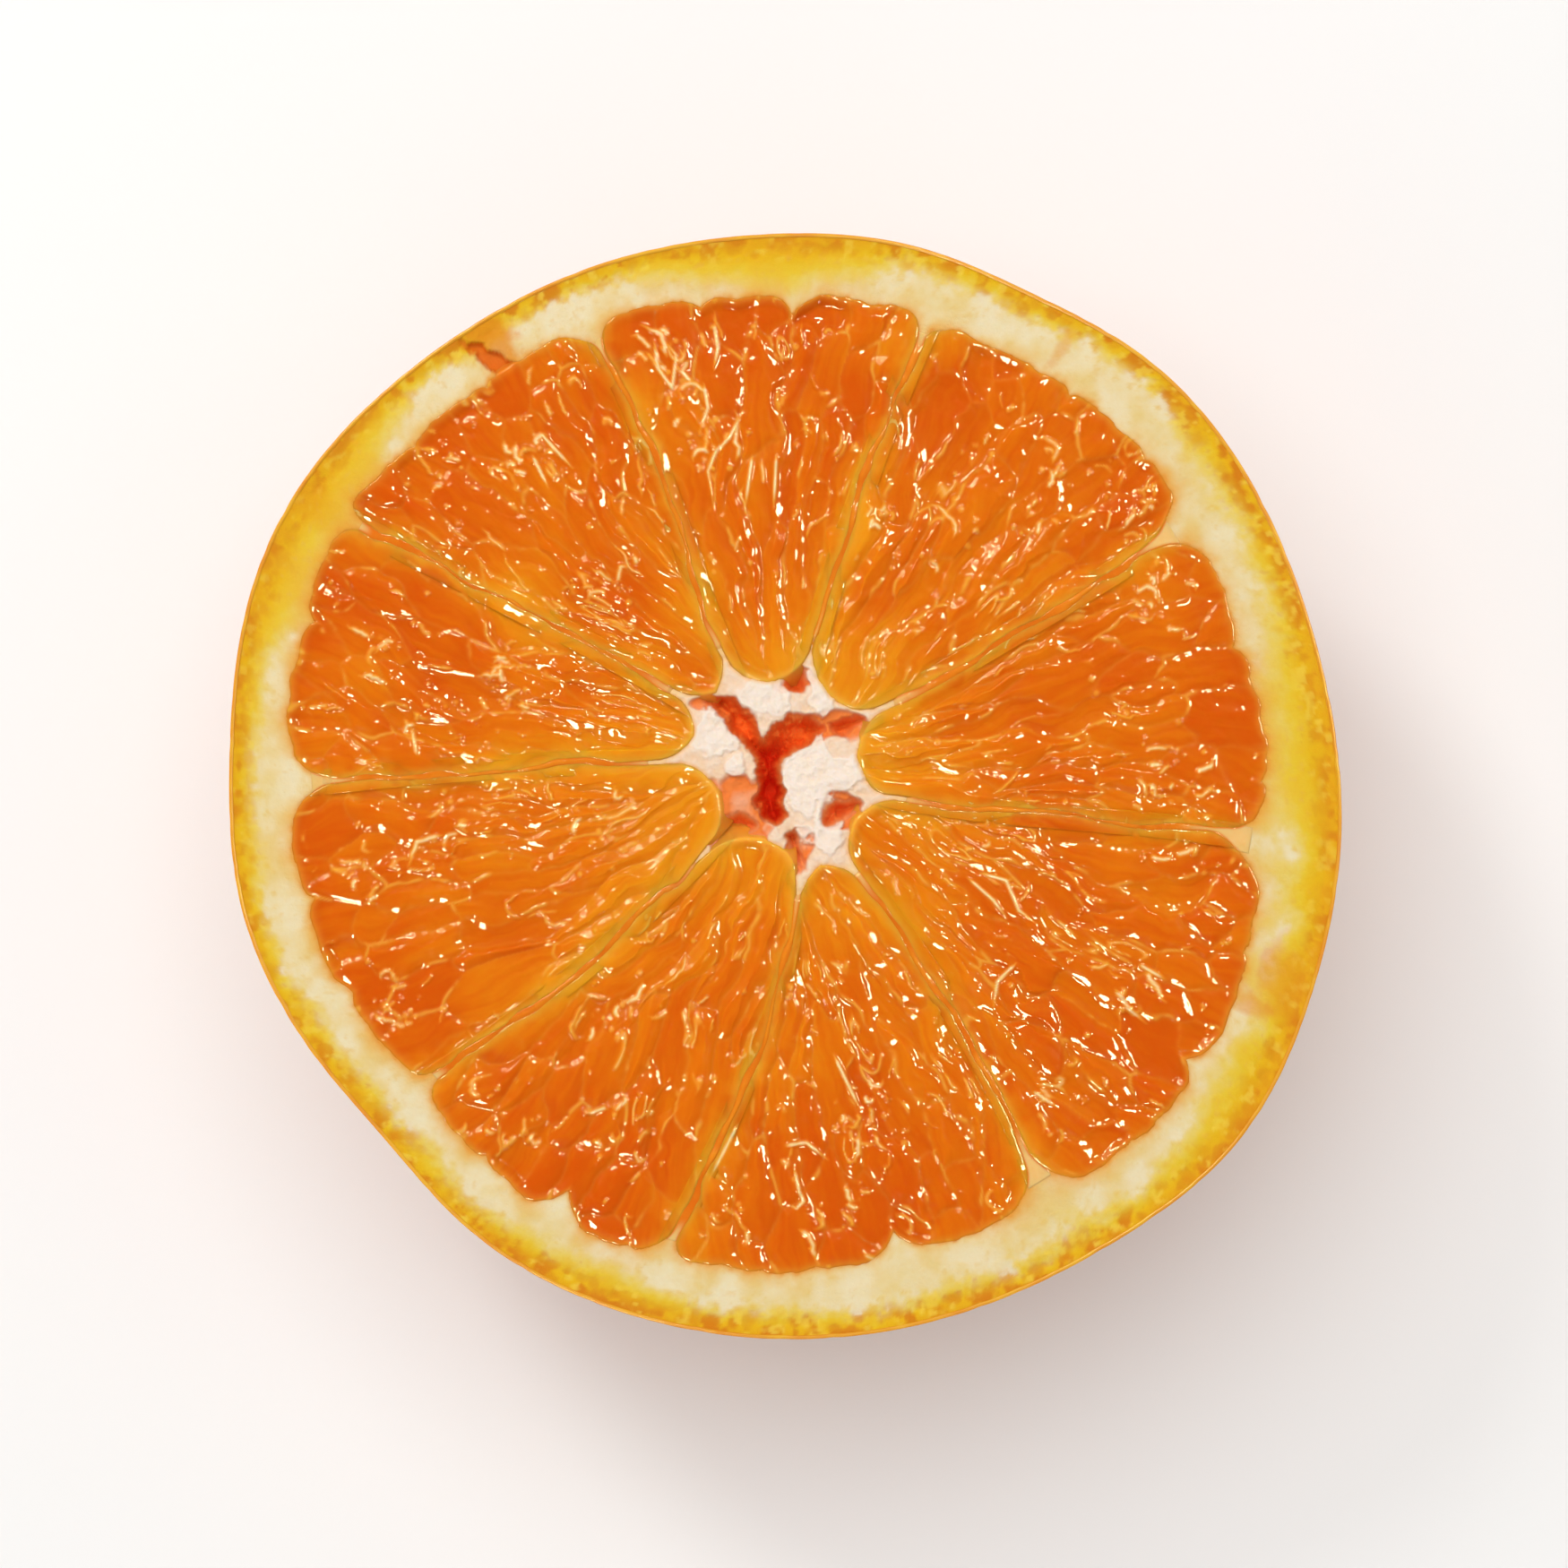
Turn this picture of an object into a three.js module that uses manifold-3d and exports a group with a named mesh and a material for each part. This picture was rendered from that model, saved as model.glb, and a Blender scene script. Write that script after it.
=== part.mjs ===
// Half of an orange, cut across the equator and standing on its stem end with the cut face up.
// The fruit grew as one piece, so it is one closed solid. Millimetres, +Z up, rest plane at z = 0.
// Bearings run counter-clockwise in degrees from +X, as seen from above the cut face.

import * as THREE from 'three';
import { mergeVertices } from 'three/addons/utils/BufferGeometryUtils.js';
import Module from 'manifold-3d';

const wasm = await Module();
wasm.setup();

// ---------------------------------------------------------------- driving dimensions

const FRUIT_DIAMETER = 78; // mean diameter of the cut face
const HALF_HEIGHT = 37; // from the rest plane to the cut face
const RIND_THICKNESS = 4.6; // mean thickness of peel and white pith at the cut
const SEPTUM_WIDTH = 0.9; // membrane between two segments
const PULP_RECESS = 0.6; // the pulp lies this far below the cut membranes
const JUICE_SAC_RELIEF = 0.4; // height of the juice sacs above the floor of their segment
const CORE_DIAMETER = 12; // mean diameter of the white core
const CORE_HOLLOW_DEPTH = 5; // the split in the middle of the core
const CORE_POCKET_DEPTH = 2; // the smaller gaps between the core's lobes
const REST_RING_DIAMETER = 13; // inside diameter of the flat ring round the stem end
const REST_RING_WIDTH = 2;
const STEM_DIMPLE_DEPTH = 1.5; // sunk middle of the stem end
const CALYX_DIAMETER = 7; // the dry five-lobed button left by the stem
const CALYX_HEIGHT = 1.1; // above the floor of the dimple
const STEM_SCAR_DIAMETER = 2.4;
const STEM_SCAR_DEPTH = 0.5;
const FURROW_DEPTH = 0.35; // creases that run out from the stem end
const NICK_DEPTH = 1.2; // torn spots in the cut rind

// ---------------------------------------------------------------- the fruit's own irregularity

// The cut face leans out to one side, and has bulges and flats: each one's bearing and half width in
// degrees, with its height as a share of the mean radius.
const OUTLINE = {
  lean: 0.04,
  leanBearing: 305,
  bulges: [
    { bearing: 14, height: -0.028, width: 22 },
    { bearing: 62, height: -0.02, width: 12 },
    { bearing: 92, height: -0.012, width: 18 },
    { bearing: 155, height: 0.038, width: 22 },
    { bearing: 194, height: 0.016, width: 12 },
    { bearing: 223, height: -0.026, width: 12 },
    { bearing: 321, height: 0.027, width: 14 },
  ],
};

// The rind is thicker on one side, with a few thick and thin stretches, as shares of its mean thickness.
const RIND = {
  lean: 0.13,
  leanBearing: 335,
  bulges: [
    { bearing: 30, height: 0.06, width: 20 },
    { bearing: 120, height: -0.06, width: 22 },
    { bearing: 190, height: 0.07, width: 22 },
    { bearing: 240, height: -0.08, width: 20 },
  ],
};

// The nine membranes: their bearings at the core, halfway out and at the rind. Each one's segment lies
// counter-clockwise of it, and coreSide is how far that segment starts from the axis, in core radii.
const SEPTA = [
  { core: 28.5, middle: 29.5, rind: 30.5, coreSide: 1.0 },
  { core: 75, middle: 73.5, rind: 71.3, coreSide: 0.98 },
  { core: 119, middle: 113, rind: 113.5, coreSide: 1.12 },
  { core: 145, middle: 149, rind: 150.5, coreSide: 1.07 },
  { core: 178, middle: 180.5, rind: 182.5, coreSide: 0.8 },
  { core: 230, middle: 226, rind: 221.5, coreSide: 0.9 },
  { core: 281, middle: 265, rind: 256.5, coreSide: 1.25 },
  { core: 305, middle: 305, rind: 301, coreSide: 1.08 },
  { core: 342.5, middle: 349.5, rind: 351, coreSide: 0.9 },
];

// Outlines of the core's hollows, in core radii from the axis: the forked split and the small pockets.
const CORE_SPLIT = [
  [-0.86, 0.78], [-0.57, 0.76], [-0.35, 0.55], [-0.2, 0.27], [-0.08, 0.47], [0.12, 0.56], [0.35, 0.52],
  [0.5, 0.4], [0.33, 0.24], [0.1, 0.09], [0.03, -0.1], [0.07, -0.5], [-0.01, -0.73], [-0.14, -0.7],
  [-0.31, -0.48], [-0.3, -0.02], [-0.5, 0.3], [-0.73, 0.63],
];
const CORE_POCKETS = [
  [[-0.66, -0.6], [-0.42, -0.57], [-0.26, -0.72], [-0.42, -0.82], [-0.74, -0.96]],
  [[0.52, -0.74], [0.5, -0.53], [0.67, -0.4], [0.95, -0.44], [0.84, -0.58]],
  [[0.04, -0.82], [0.18, -0.8], [0.24, -0.98], [0.3, -1.24], [0.17, -1.08]],
  [[0.58, 0.5], [0.98, 0.57], [0.9, 0.44], [0.66, 0.34]],
  [[0.0, 0.94], [0.24, 1.16], [0.25, 0.86], [0.12, 0.86]],
];

// Torn spots in the rind: their bearing, distance in from the skin, length and width.
const NICKS = [
  { bearing: 125, inFromSkin: 2.4, length: 4, width: 1.8 },
  { bearing: 334.5, inFromSkin: 2.6, length: 2.6, width: 0.8 },
];

// ---------------------------------------------------------------- how finely the shapes are drawn

const BEARING_STEPS = 70; // a multiple of the calyx lobes and of the furrows
const DOME_STEPS = 14;
const CALYX_LOBES = 5;
const FURROWS = 10;
const SACS_ACROSS = 5;
const SACS_ALONG = 6;
const CORNER_SQUARENESS = 5; // exponent of the superellipse that rounds a segment's corners
const SPLIT_OUTLINE_STEPS = 44;
const POCKET_OUTLINE_STEPS = 14;
const WELL_FLOOR_SCALE = 0.55; // a core hollow narrows to this share of its mouth
const CUT_CLEARANCE = 1; // cutting shapes start this far above the cut face

const MEAN_RADIUS = FRUIT_DIAMETER / 2;
const CORE_RADIUS = CORE_DIAMETER / 2;
const RING_INSIDE = REST_RING_DIAMETER / 2;
const RING_OUTSIDE = RING_INSIDE + REST_RING_WIDTH;

// ---------------------------------------------------------------- small helpers

const { lerp, degToRad, euclideanModulo, smoothstep } = THREE.MathUtils;

/** Size of an uneven closed curve at a bearing, against its mean. */
function unevenShare(curve, bearing) {
  const leaning = 1 + curve.lean * Math.cos(degToRad(bearing - curve.leanBearing));
  return curve.bulges.reduce((sum, bulge) => {
    const gap = euclideanModulo(bearing - bulge.bearing + 180, 360) - 180;
    return sum + bulge.height * Math.exp(-((gap / bulge.width) ** 2));
  }, leaning);
}

/** A repeatable number from 0 to 1 that looks random. */
function scatter(seed) {
  const value = Math.sin(seed * 12.9898) * 43758.5453;
  return value - Math.floor(value);
}

const skinRadius = (bearing) => MEAN_RADIUS * unevenShare(OUTLINE, bearing);
const pulpRadius = (bearing) => skinRadius(bearing) - RIND_THICKNESS * unevenShare(RIND, bearing);

function polarPoint(radius, bearing, z) {
  const angle = degToRad(bearing);
  return new THREE.Vector3(radius * Math.cos(angle), radius * Math.sin(angle), z);
}

function indexedGeometry(points, triangles) {
  const geometry = new THREE.BufferGeometry().setFromPoints(points);
  geometry.setIndex(triangles);
  return geometry;
}

function solidFromGeometry(geometry) {
  const bare = geometry.clone();
  bare.deleteAttribute('normal');
  bare.deleteAttribute('uv');
  const merged = mergeVertices(bare, 1e-4);
  const vertProperties = Float32Array.from(merged.attributes.position.array);
  const triVerts = Uint32Array.from(merged.index.array);
  return new wasm.Manifold(new wasm.Mesh({ numProp: 3, vertProperties, triVerts }));
}

function geometryFromSolid(solid) {
  const mesh = solid.getMesh();
  const geometry = new THREE.BufferGeometry();
  geometry.setAttribute('position', new THREE.BufferAttribute(mesh.vertProperties, 3));
  geometry.setIndex(new THREE.BufferAttribute(mesh.triVerts, 1));
  geometry.computeVertexNormals();
  return geometry;
}

// ---------------------------------------------------------------- the outside: stem end, dome, cut face

/** Rings of the stem end from the middle outwards: the scar, the lobed button, the dimple, the flat ring. */
function stemEndRings() {
  const buttonRadius = CALYX_DIAMETER / 2;
  const scarRadius = STEM_SCAR_DIAMETER / 2;
  const buttonFace = STEM_DIMPLE_DEPTH - CALYX_HEIGHT;
  const lobed = (bearing) => 1 + 0.11 * Math.cos(degToRad(CALYX_LOBES * bearing));
  const plain = () => 1;
  return [
    { radius: scarRadius * 0.7, z: buttonFace + STEM_SCAR_DEPTH, shape: plain },
    { radius: scarRadius, z: buttonFace, shape: plain },
    { radius: lerp(scarRadius, buttonRadius, 0.65), z: buttonFace + 0.15, shape: lobed },
    { radius: buttonRadius, z: buttonFace + CALYX_HEIGHT * 0.45, shape: lobed },
    { radius: buttonRadius * 1.02, z: STEM_DIMPLE_DEPTH, shape: lobed },
    { radius: lerp(buttonRadius, RING_INSIDE, 0.45), z: STEM_DIMPLE_DEPTH * 0.9, shape: plain },
    { radius: lerp(buttonRadius, RING_INSIDE, 0.8), z: STEM_DIMPLE_DEPTH * 0.35, shape: plain },
    { radius: RING_INSIDE, z: 0, shape: plain },
    { radius: RING_OUTSIDE, z: 0, shape: plain },
  ];
}

/** Rings of the dome from the flat ring up to the cut, on an ellipse whose outline loosens as it rises. */
function domeRings() {
  const startAngle = Math.asin(RING_OUTSIDE / MEAN_RADIUS);
  const ellipseHeight = HALF_HEIGHT / Math.cos(startAngle);
  const rings = [];
  for (let step = 1; step <= DOME_STEPS; step += 1) {
    const angle = lerp(startAngle, Math.PI / 2, step / DOME_STEPS);
    const likeness = (Math.sin(angle) - Math.sin(startAngle)) / (1 - Math.sin(startAngle));
    const furrowing = FURROW_DEPTH * (1 - smoothstep(step, 1, 4));
    rings.push({
      radius: MEAN_RADIUS * Math.sin(angle),
      z: HALF_HEIGHT - ellipseHeight * Math.cos(angle),
      shape: (bearing) => lerp(1, unevenShare(OUTLINE, bearing), likeness),
      lift: (bearing) => furrowing * (0.5 - 0.5 * Math.cos(degToRad(FURROWS * bearing))),
    });
  }
  return rings;
}

function wholeHalf() {
  const rings = [...stemEndRings(), ...domeRings()];
  const points = [new THREE.Vector3(0, 0, rings[0].z)];
  for (const ring of rings) {
    for (let step = 0; step < BEARING_STEPS; step += 1) {
      const bearing = (step / BEARING_STEPS) * 360;
      const z = ring.z + (ring.lift ? ring.lift(bearing) : 0);
      points.push(polarPoint(ring.radius * ring.shape(bearing), bearing, z));
    }
  }
  const cutCentre = points.push(new THREE.Vector3(0, 0, HALF_HEIGHT)) - 1;
  const lastRing = rings.length - 1;
  const at = (ring, step) => 1 + ring * BEARING_STEPS + (step % BEARING_STEPS);
  const triangles = [];
  for (let step = 0; step < BEARING_STEPS; step += 1) {
    triangles.push(0, at(0, step + 1), at(0, step));
    for (let ring = 0; ring < lastRing; ring += 1) {
      triangles.push(at(ring, step), at(ring, step + 1), at(ring + 1, step));
      triangles.push(at(ring, step + 1), at(ring + 1, step + 1), at(ring + 1, step));
    }
    triangles.push(cutCentre, at(lastRing, step), at(lastRing, step + 1));
  }
  return solidFromGeometry(indexedGeometry(points, triangles));
}

// ---------------------------------------------------------------- the cut face: segments

/** Bearing of a membrane's middle line, from 0 at the core to 1 at the rind. */
function septumBearing(septum, outwards) {
  return septum.core * (1 - outwards) * (1 - 2 * outwards)
    + septum.middle * 4 * outwards * (1 - outwards)
    + septum.rind * outwards * (2 * outwards - 1);
}

/** A point of a segment's plan: across and along both run from -1 to 1, along from the core outwards. */
function segmentPoint(first, second, across, along, z) {
  const outwards = (along + 1) / 2;
  const start = septumBearing(first, outwards);
  const end = septumBearing(second, outwards);
  const middleBearing = lerp(start, end, (across + 1) / 2);
  const radius = lerp(CORE_RADIUS * first.coreSide, pulpRadius(middleBearing), outwards);
  const halfSeptum = THREE.MathUtils.radToDeg(SEPTUM_WIDTH / 2 / radius);
  const bearing = lerp(start + halfSeptum, end - halfSeptum, (across + 1) / 2);
  return polarPoint(radius, bearing, z);
}

/** Rounds the corners of a square grid: each square ring becomes a superellipse. */
function roundCorners(across, along) {
  const ring = Math.max(Math.abs(across), Math.abs(along));
  const norm = (Math.abs(across) ** CORNER_SQUARENESS + Math.abs(along) ** CORNER_SQUARENESS)
    ** (1 / CORNER_SQUARENESS);
  const scale = norm > 0 ? ring / norm : 0;
  return [across * scale, along * scale];
}

/** The shape that hollows one segment down to its juice sacs, whose rows run from the core to the rind. */
function segmentCutter(index) {
  const first = SEPTA[index];
  const next = SEPTA[(index + 1) % SEPTA.length];
  const turned = next.core < first.core ? 360 : 0;
  const second = {
    core: next.core + turned,
    middle: next.middle + turned,
    rind: next.rind + turned,
  };
  const columns = 2 * SACS_ACROSS;
  const rows = 2 * SACS_ALONG;
  const layer = (heightAt) => {
    const points = [];
    for (let row = 0; row <= rows; row += 1) {
      for (let column = 0; column <= columns; column += 1) {
        const [across, along] = roundCorners((2 * column) / columns - 1, (2 * row) / rows - 1);
        points.push(segmentPoint(first, second, across, along, heightAt(column, row)));
      }
    }
    return points;
  };
  const sacHeight = (column, row) => {
    const inside = column > 0 && column < columns && row > 0 && row < rows;
    const crest = column % 2 === 1 ? lerp(0.55, 1, scatter(index * 97 + column * 13 + row)) : 0;
    return HALF_HEIGHT - PULP_RECESS + (inside ? JUICE_SAC_RELIEF * crest : 0);
  };
  const floor = layer(sacHeight);
  const top = layer(() => HALF_HEIGHT + CUT_CLEARANCE);
  return solidFromGeometry(slabGeometry(floor, top, columns, rows));
}

/** Closes two matching grids of points, one above the other, into a slab. */
function slabGeometry(floor, top, columns, rows) {
  const at = (column, row) => row * (columns + 1) + column;
  const above = floor.length;
  const triangles = [];
  for (let row = 0; row < rows; row += 1) {
    for (let column = 0; column < columns; column += 1) {
      const corners = [at(column, row), at(column + 1, row), at(column + 1, row + 1), at(column, row + 1)];
      const [a, b, c, d] = corners;
      triangles.push(a, b, c, a, c, d);
      triangles.push(above + a, above + c, above + b, above + a, above + d, above + c);
    }
  }
  const border = [];
  for (let column = 0; column < columns; column += 1) {
    border.push(at(column, 0));
  }
  for (let row = 0; row < rows; row += 1) {
    border.push(at(columns, row));
  }
  for (let column = columns; column > 0; column -= 1) {
    border.push(at(column, rows));
  }
  for (let row = rows; row > 0; row -= 1) {
    border.push(at(0, row));
  }
  border.forEach((corner, place) => {
    const neighbour = border[(place + 1) % border.length];
    triangles.push(corner, above + corner, above + neighbour, corner, above + neighbour, neighbour);
  });
  return indexedGeometry([...floor, ...top], triangles);
}

// ---------------------------------------------------------------- the cut face: core and torn spots

/** A hollow in the core that narrows downwards, with the given outline at its mouth. */
function coreWell(outline, depth, outlineSteps) {
  const corners = outline.map(([x, y]) => new THREE.Vector3(x * CORE_RADIUS, y * CORE_RADIUS, 0));
  const curve = new THREE.CatmullRomCurve3(corners, true, 'centripetal');
  const mouth = curve.getPoints(outlineSteps).slice(0, -1);
  const shape = new THREE.Shape(mouth.map((point) => new THREE.Vector2(point.x, point.y)));
  const middle = new THREE.Vector3();
  mouth.forEach((point) => middle.addScaledVector(point, 1 / mouth.length));
  const extrusion = { depth: depth + CUT_CLEARANCE, steps: 3, bevelEnabled: false };
  const well = new THREE.ExtrudeGeometry(shape, extrusion);
  well.translate(0, 0, HALF_HEIGHT - depth);
  const position = well.attributes.position;
  for (let index = 0; index < position.count; index += 1) {
    const below = Math.max(0, HALF_HEIGHT - position.getZ(index)) / depth;
    const scale = lerp(1, WELL_FLOOR_SCALE, below);
    position.setX(index, middle.x + (position.getX(index) - middle.x) * scale);
    position.setY(index, middle.y + (position.getY(index) - middle.y) * scale);
  }
  return solidFromGeometry(well);
}

/** A shallow torn spot, an ellipsoid sunk into the cut rind along the fruit's radius. */
function nickCutter(nick) {
  const spot = new THREE.SphereGeometry(1, 12, 8);
  spot.scale(nick.length / 2, nick.width / 2, NICK_DEPTH);
  spot.rotateZ(degToRad(nick.bearing));
  const centre = polarPoint(skinRadius(nick.bearing) - nick.inFromSkin, nick.bearing, HALF_HEIGHT);
  spot.translate(centre.x, centre.y, centre.z);
  return solidFromGeometry(spot);
}

// ---------------------------------------------------------------- assembly

function buildOrangeHalf() {
  const cutters = [
    ...SEPTA.map((septum, index) => segmentCutter(index)),
    coreWell(CORE_SPLIT, CORE_HOLLOW_DEPTH, SPLIT_OUTLINE_STEPS),
    ...CORE_POCKETS.map((outline) => coreWell(outline, CORE_POCKET_DEPTH, POCKET_OUTLINE_STEPS)),
    ...NICKS.map(nickCutter),
  ];
  const solid = cutters.reduce((half, cutter) => half.subtract(cutter), wholeHalf());
  const geometry = geometryFromSolid(solid);
  geometry.computeBoundingBox();
  const centre = geometry.boundingBox.getCenter(new THREE.Vector3());
  geometry.translate(-centre.x, -centre.y, 0);
  return geometry;
}

const fruitMaterial = new THREE.MeshStandardMaterial({ color: 0xe8860f, roughness: 0.45, metalness: 0 });
const orangeHalf = new THREE.Mesh(buildOrangeHalf(), fruitMaterial);
orangeHalf.name = 'orange_half';

const part = new THREE.Group();
part.add(orangeHalf);

export default part;
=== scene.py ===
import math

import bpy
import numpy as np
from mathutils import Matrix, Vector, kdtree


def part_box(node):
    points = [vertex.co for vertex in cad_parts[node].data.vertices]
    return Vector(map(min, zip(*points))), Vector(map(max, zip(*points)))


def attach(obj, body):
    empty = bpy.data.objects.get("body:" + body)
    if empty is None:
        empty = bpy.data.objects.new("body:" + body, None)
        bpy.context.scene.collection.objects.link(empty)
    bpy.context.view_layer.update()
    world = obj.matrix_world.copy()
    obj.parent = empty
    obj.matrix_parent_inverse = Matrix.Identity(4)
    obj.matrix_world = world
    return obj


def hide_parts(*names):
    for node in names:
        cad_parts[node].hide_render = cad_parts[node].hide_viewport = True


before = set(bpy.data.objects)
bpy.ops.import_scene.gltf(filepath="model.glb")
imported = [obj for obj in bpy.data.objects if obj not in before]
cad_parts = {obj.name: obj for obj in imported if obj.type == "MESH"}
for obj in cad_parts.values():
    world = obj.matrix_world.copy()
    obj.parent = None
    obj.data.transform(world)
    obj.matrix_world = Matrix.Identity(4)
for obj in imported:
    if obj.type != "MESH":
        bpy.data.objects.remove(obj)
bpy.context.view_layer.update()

# Half of an orange, cut face up. Shapes are worked out in millimetres about the fruit's own axis, with
# z = 0 at the cut face, and moved into the frame when each mesh is made. Bearings are in degrees,
# counter-clockwise from +X as seen from above.

NODE = "orange_half"
BODY = "root"
MM = 0.001
SEED = 7

low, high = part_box(NODE)

# ------------------------------------------------------------------ the fruit's shape

# As in the CAD model, apart from the wedges of pith in SEPTA and the clefts.

# The cut face leans out to one side, and has bulges and flats: bearing, height as a share of the mean
# radius, and half width.
LEAN = (305, 0.04)
BULGES = [
    (14, -0.028, 22), (62, -0.02, 12), (92, -0.012, 18), (155, 0.038, 22), (194, 0.016, 12),
    (223, -0.026, 12), (321, 0.027, 14),
]
# The rind is thicker on one side, with a few thick and thin stretches, as shares of its mean thickness.
RIND_LEAN = (335, 0.13)
RIND_BULGES = [(30, 0.06, 20), (120, -0.06, 22), (190, 0.07, 22), (240, -0.08, 20)]
RIND_THICKNESS = 4.6
CORE_RADIUS = 6.0
# Each membrane: bearings at the core, halfway and at the rind; how far the next segment starts from the
# axis, in core radii; and the size of the white wedge where the membrane meets the rind.
SEPTA = np.array([
    [28.5, 29.5, 30.5, 1.0, 3.3],
    [75.0, 73.5, 71.3, 0.98, 1.8],
    [119.0, 113.0, 113.5, 1.12, 2.4],
    [145.0, 149.0, 150.5, 1.07, 1.6],
    [178.0, 180.5, 182.5, 0.8, 3.3],
    [230.0, 226.0, 221.5, 0.9, 1.6],
    [281.0, 265.0, 256.5, 1.25, 2.0],
    [305.0, 305.0, 301.0, 1.08, 3.8],
    [342.5, 349.5, 351.0, 0.9, 4.6],
])
# Clefts between lobes of pulp at the rind: bearing and depth.
CLEFTS = [
    (14.5, 0.6), (40.0, 0.3), (52.0, 0.5), (88.5, 1.5), (100.0, 0.4), (128.0, 0.5), (139.0, 0.4),
    (163.0, 0.7), (196.0, 0.5), (208.0, 0.3), (233.0, 0.4), (243.5, 2.4), (268.0, 0.3), (283.5, 1.9),
    (313.0, 0.3), (324.0, 1.2), (338.0, 0.4), (358.0, 0.6),
]
CORE_SPLIT = [
    (-0.86, 0.78), (-0.57, 0.76), (-0.35, 0.55), (-0.2, 0.27), (-0.08, 0.47), (0.12, 0.56), (0.35, 0.52),
    (0.5, 0.4), (0.33, 0.24), (0.1, 0.09), (0.03, -0.1), (0.07, -0.5), (-0.01, -0.73), (-0.14, -0.7),
    (-0.31, -0.48), (-0.3, -0.02), (-0.5, 0.3), (-0.73, 0.63),
]
CORE_POCKETS = [
    [(-0.66, -0.6), (-0.42, -0.57), (-0.26, -0.72), (-0.42, -0.82), (-0.74, -0.96)],
    [(0.52, -0.74), (0.5, -0.53), (0.67, -0.4), (0.95, -0.44), (0.84, -0.58)],
    [(0.04, -0.82), (0.18, -0.8), (0.24, -0.98), (0.3, -1.24), (0.17, -1.08)],
    [(0.58, 0.5), (0.98, 0.57), (0.9, 0.44), (0.66, 0.34)],
    [(0.0, 0.94), (0.24, 1.16), (0.25, 0.86), (0.12, 0.86)],
]
CORE_HOLLOW_DEPTH = 5.0
CORE_POCKET_DEPTH = 2.0
REST_RING = (6.5, 8.5)
STEM_DIMPLE_DEPTH = 1.5
CALYX_RADIUS = 3.5
CALYX_HEIGHT = 1.1
FURROWS = 10

# ------------------------------------------------------------------ numbers, noise and colour


def smooth(value, start, end):
    """0 below start, 1 above end, with a soft ramp between."""
    t = np.clip((value - start) / (end - start), 0, 1)
    return t * t * (3 - 2 * t)


def mix(first, second, amount):
    """first at 0 and second at 1."""
    return first + (second - first) * amount


def blend(first, second, amount):
    """Colours mixed point by point."""
    return first + (second - first) * np.asarray(amount)[..., None]


def around(values, bearing):
    """Smooth closed curve through evenly spaced values, read at bearings in degrees."""
    values = np.asarray(values, float)
    place = np.mod(bearing, 360) / 360 * len(values)
    index = np.floor(place).astype(int)
    t = place - index
    before, here, after, beyond = (values[(index + step) % len(values)] for step in (-1, 0, 1, 2))
    start, end = (after - before) / 2, (beyond - here) / 2
    return here + t * (start + t * (3 * (after - here) - 2 * start - end
                                    + t * (2 * (here - after) + start + end)))


def lattice(seed, *cells):
    """Repeatable random numbers from 0 to 1 at whole-number places."""
    mixed = np.full(np.shape(cells[0]), seed * 7919 + 104729, np.uint64)
    for cell, prime in zip(cells, (374761393, 668265263, 2246822519)):
        mixed = (mixed + cell.astype(np.uint64)) * np.uint64(prime)
        mixed = mixed ^ (mixed >> np.uint64(15))
    mixed = mixed * np.uint64(1274126177)
    return ((mixed ^ (mixed >> np.uint64(16))) & np.uint64(0xFFFFFF)).astype(float) / 0xFFFFFF


def noise(seed, size, *places, octaves=1):
    """Smooth noise from -1 to 1, whose lumps are about size wide."""
    total, weight = 0.0, 0.0
    for octave in range(octaves):
        scaled = [np.asarray(place, float) * 2 ** octave / size + 1000 for place in places]
        cells = [np.floor(value).astype(np.int64) for value in scaled]
        parts = [value - cell for value, cell in zip(scaled, cells)]
        parts = [part ** 3 * (part * (part * 6 - 15) + 10) for part in parts]
        value = 0.0
        for corner in np.ndindex(*(2,) * len(places)):
            amount = 1.0
            for part, side in zip(parts, corner):
                amount = amount * (part if side else 1 - part)
            at = (cell + side for cell, side in zip(cells, corner))
            value = value + amount * lattice(SEED + seed + 31 * octave, *at)
        total = total + (2 * value - 1) / 2 ** octave
        weight += 1 / 2 ** octave
    return total / weight


def colour(red, green, blue):
    """A colour as the eye reads it, 0 to 255, in the linear values that light works with."""
    value = np.array([red, green, blue]) / 255
    return np.where(value <= 0.04045, value / 12.92, ((value + 0.055) / 1.055) ** 2.4)


# ------------------------------------------------------------------ places on the cut face


def uneven_share(lean, bulges, bearing):
    """Size of an uneven closed curve at a bearing, against its mean."""
    side, amount = lean
    share = 1 + amount * np.cos(np.radians(bearing - side))
    for middle, height, width in bulges:
        gap = np.mod(bearing - middle + 180, 360) - 180
        share = share + height * np.exp(-(gap / width) ** 2)
    return share


def outline_share(bearing):
    """Radius of the cut face against its mean."""
    return uneven_share(LEAN, BULGES, bearing)


def rind_share(bearing):
    """Thickness of the rind against its mean."""
    return uneven_share(RIND_LEAN, RIND_BULGES, bearing)


all_round = np.arange(0, 360, 0.5)
unit_x = outline_share(all_round) * np.cos(np.radians(all_round))
unit_y = outline_share(all_round) * np.sin(np.radians(all_round))
MEAN_RADIUS = (high.x - low.x) / MM / np.ptp(unit_x)
HALF_HEIGHT = (high.z - low.z) / MM
AXIS = Vector((
    (low.x + high.x) / 2 - MEAN_RADIUS * MM * (unit_x.max() + unit_x.min()) / 2,
    (low.y + high.y) / 2 - MEAN_RADIUS * MM * (unit_y.max() + unit_y.min()) / 2,
    high.z,
))


def polar(x, y):
    """Distance from the axis and bearing."""
    return np.hypot(x, y), np.degrees(np.arctan2(y, x)) % 360


def on_bearing(radius, bearing):
    angle = np.radians(bearing)
    return radius * np.cos(angle), radius * np.sin(angle)


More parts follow.
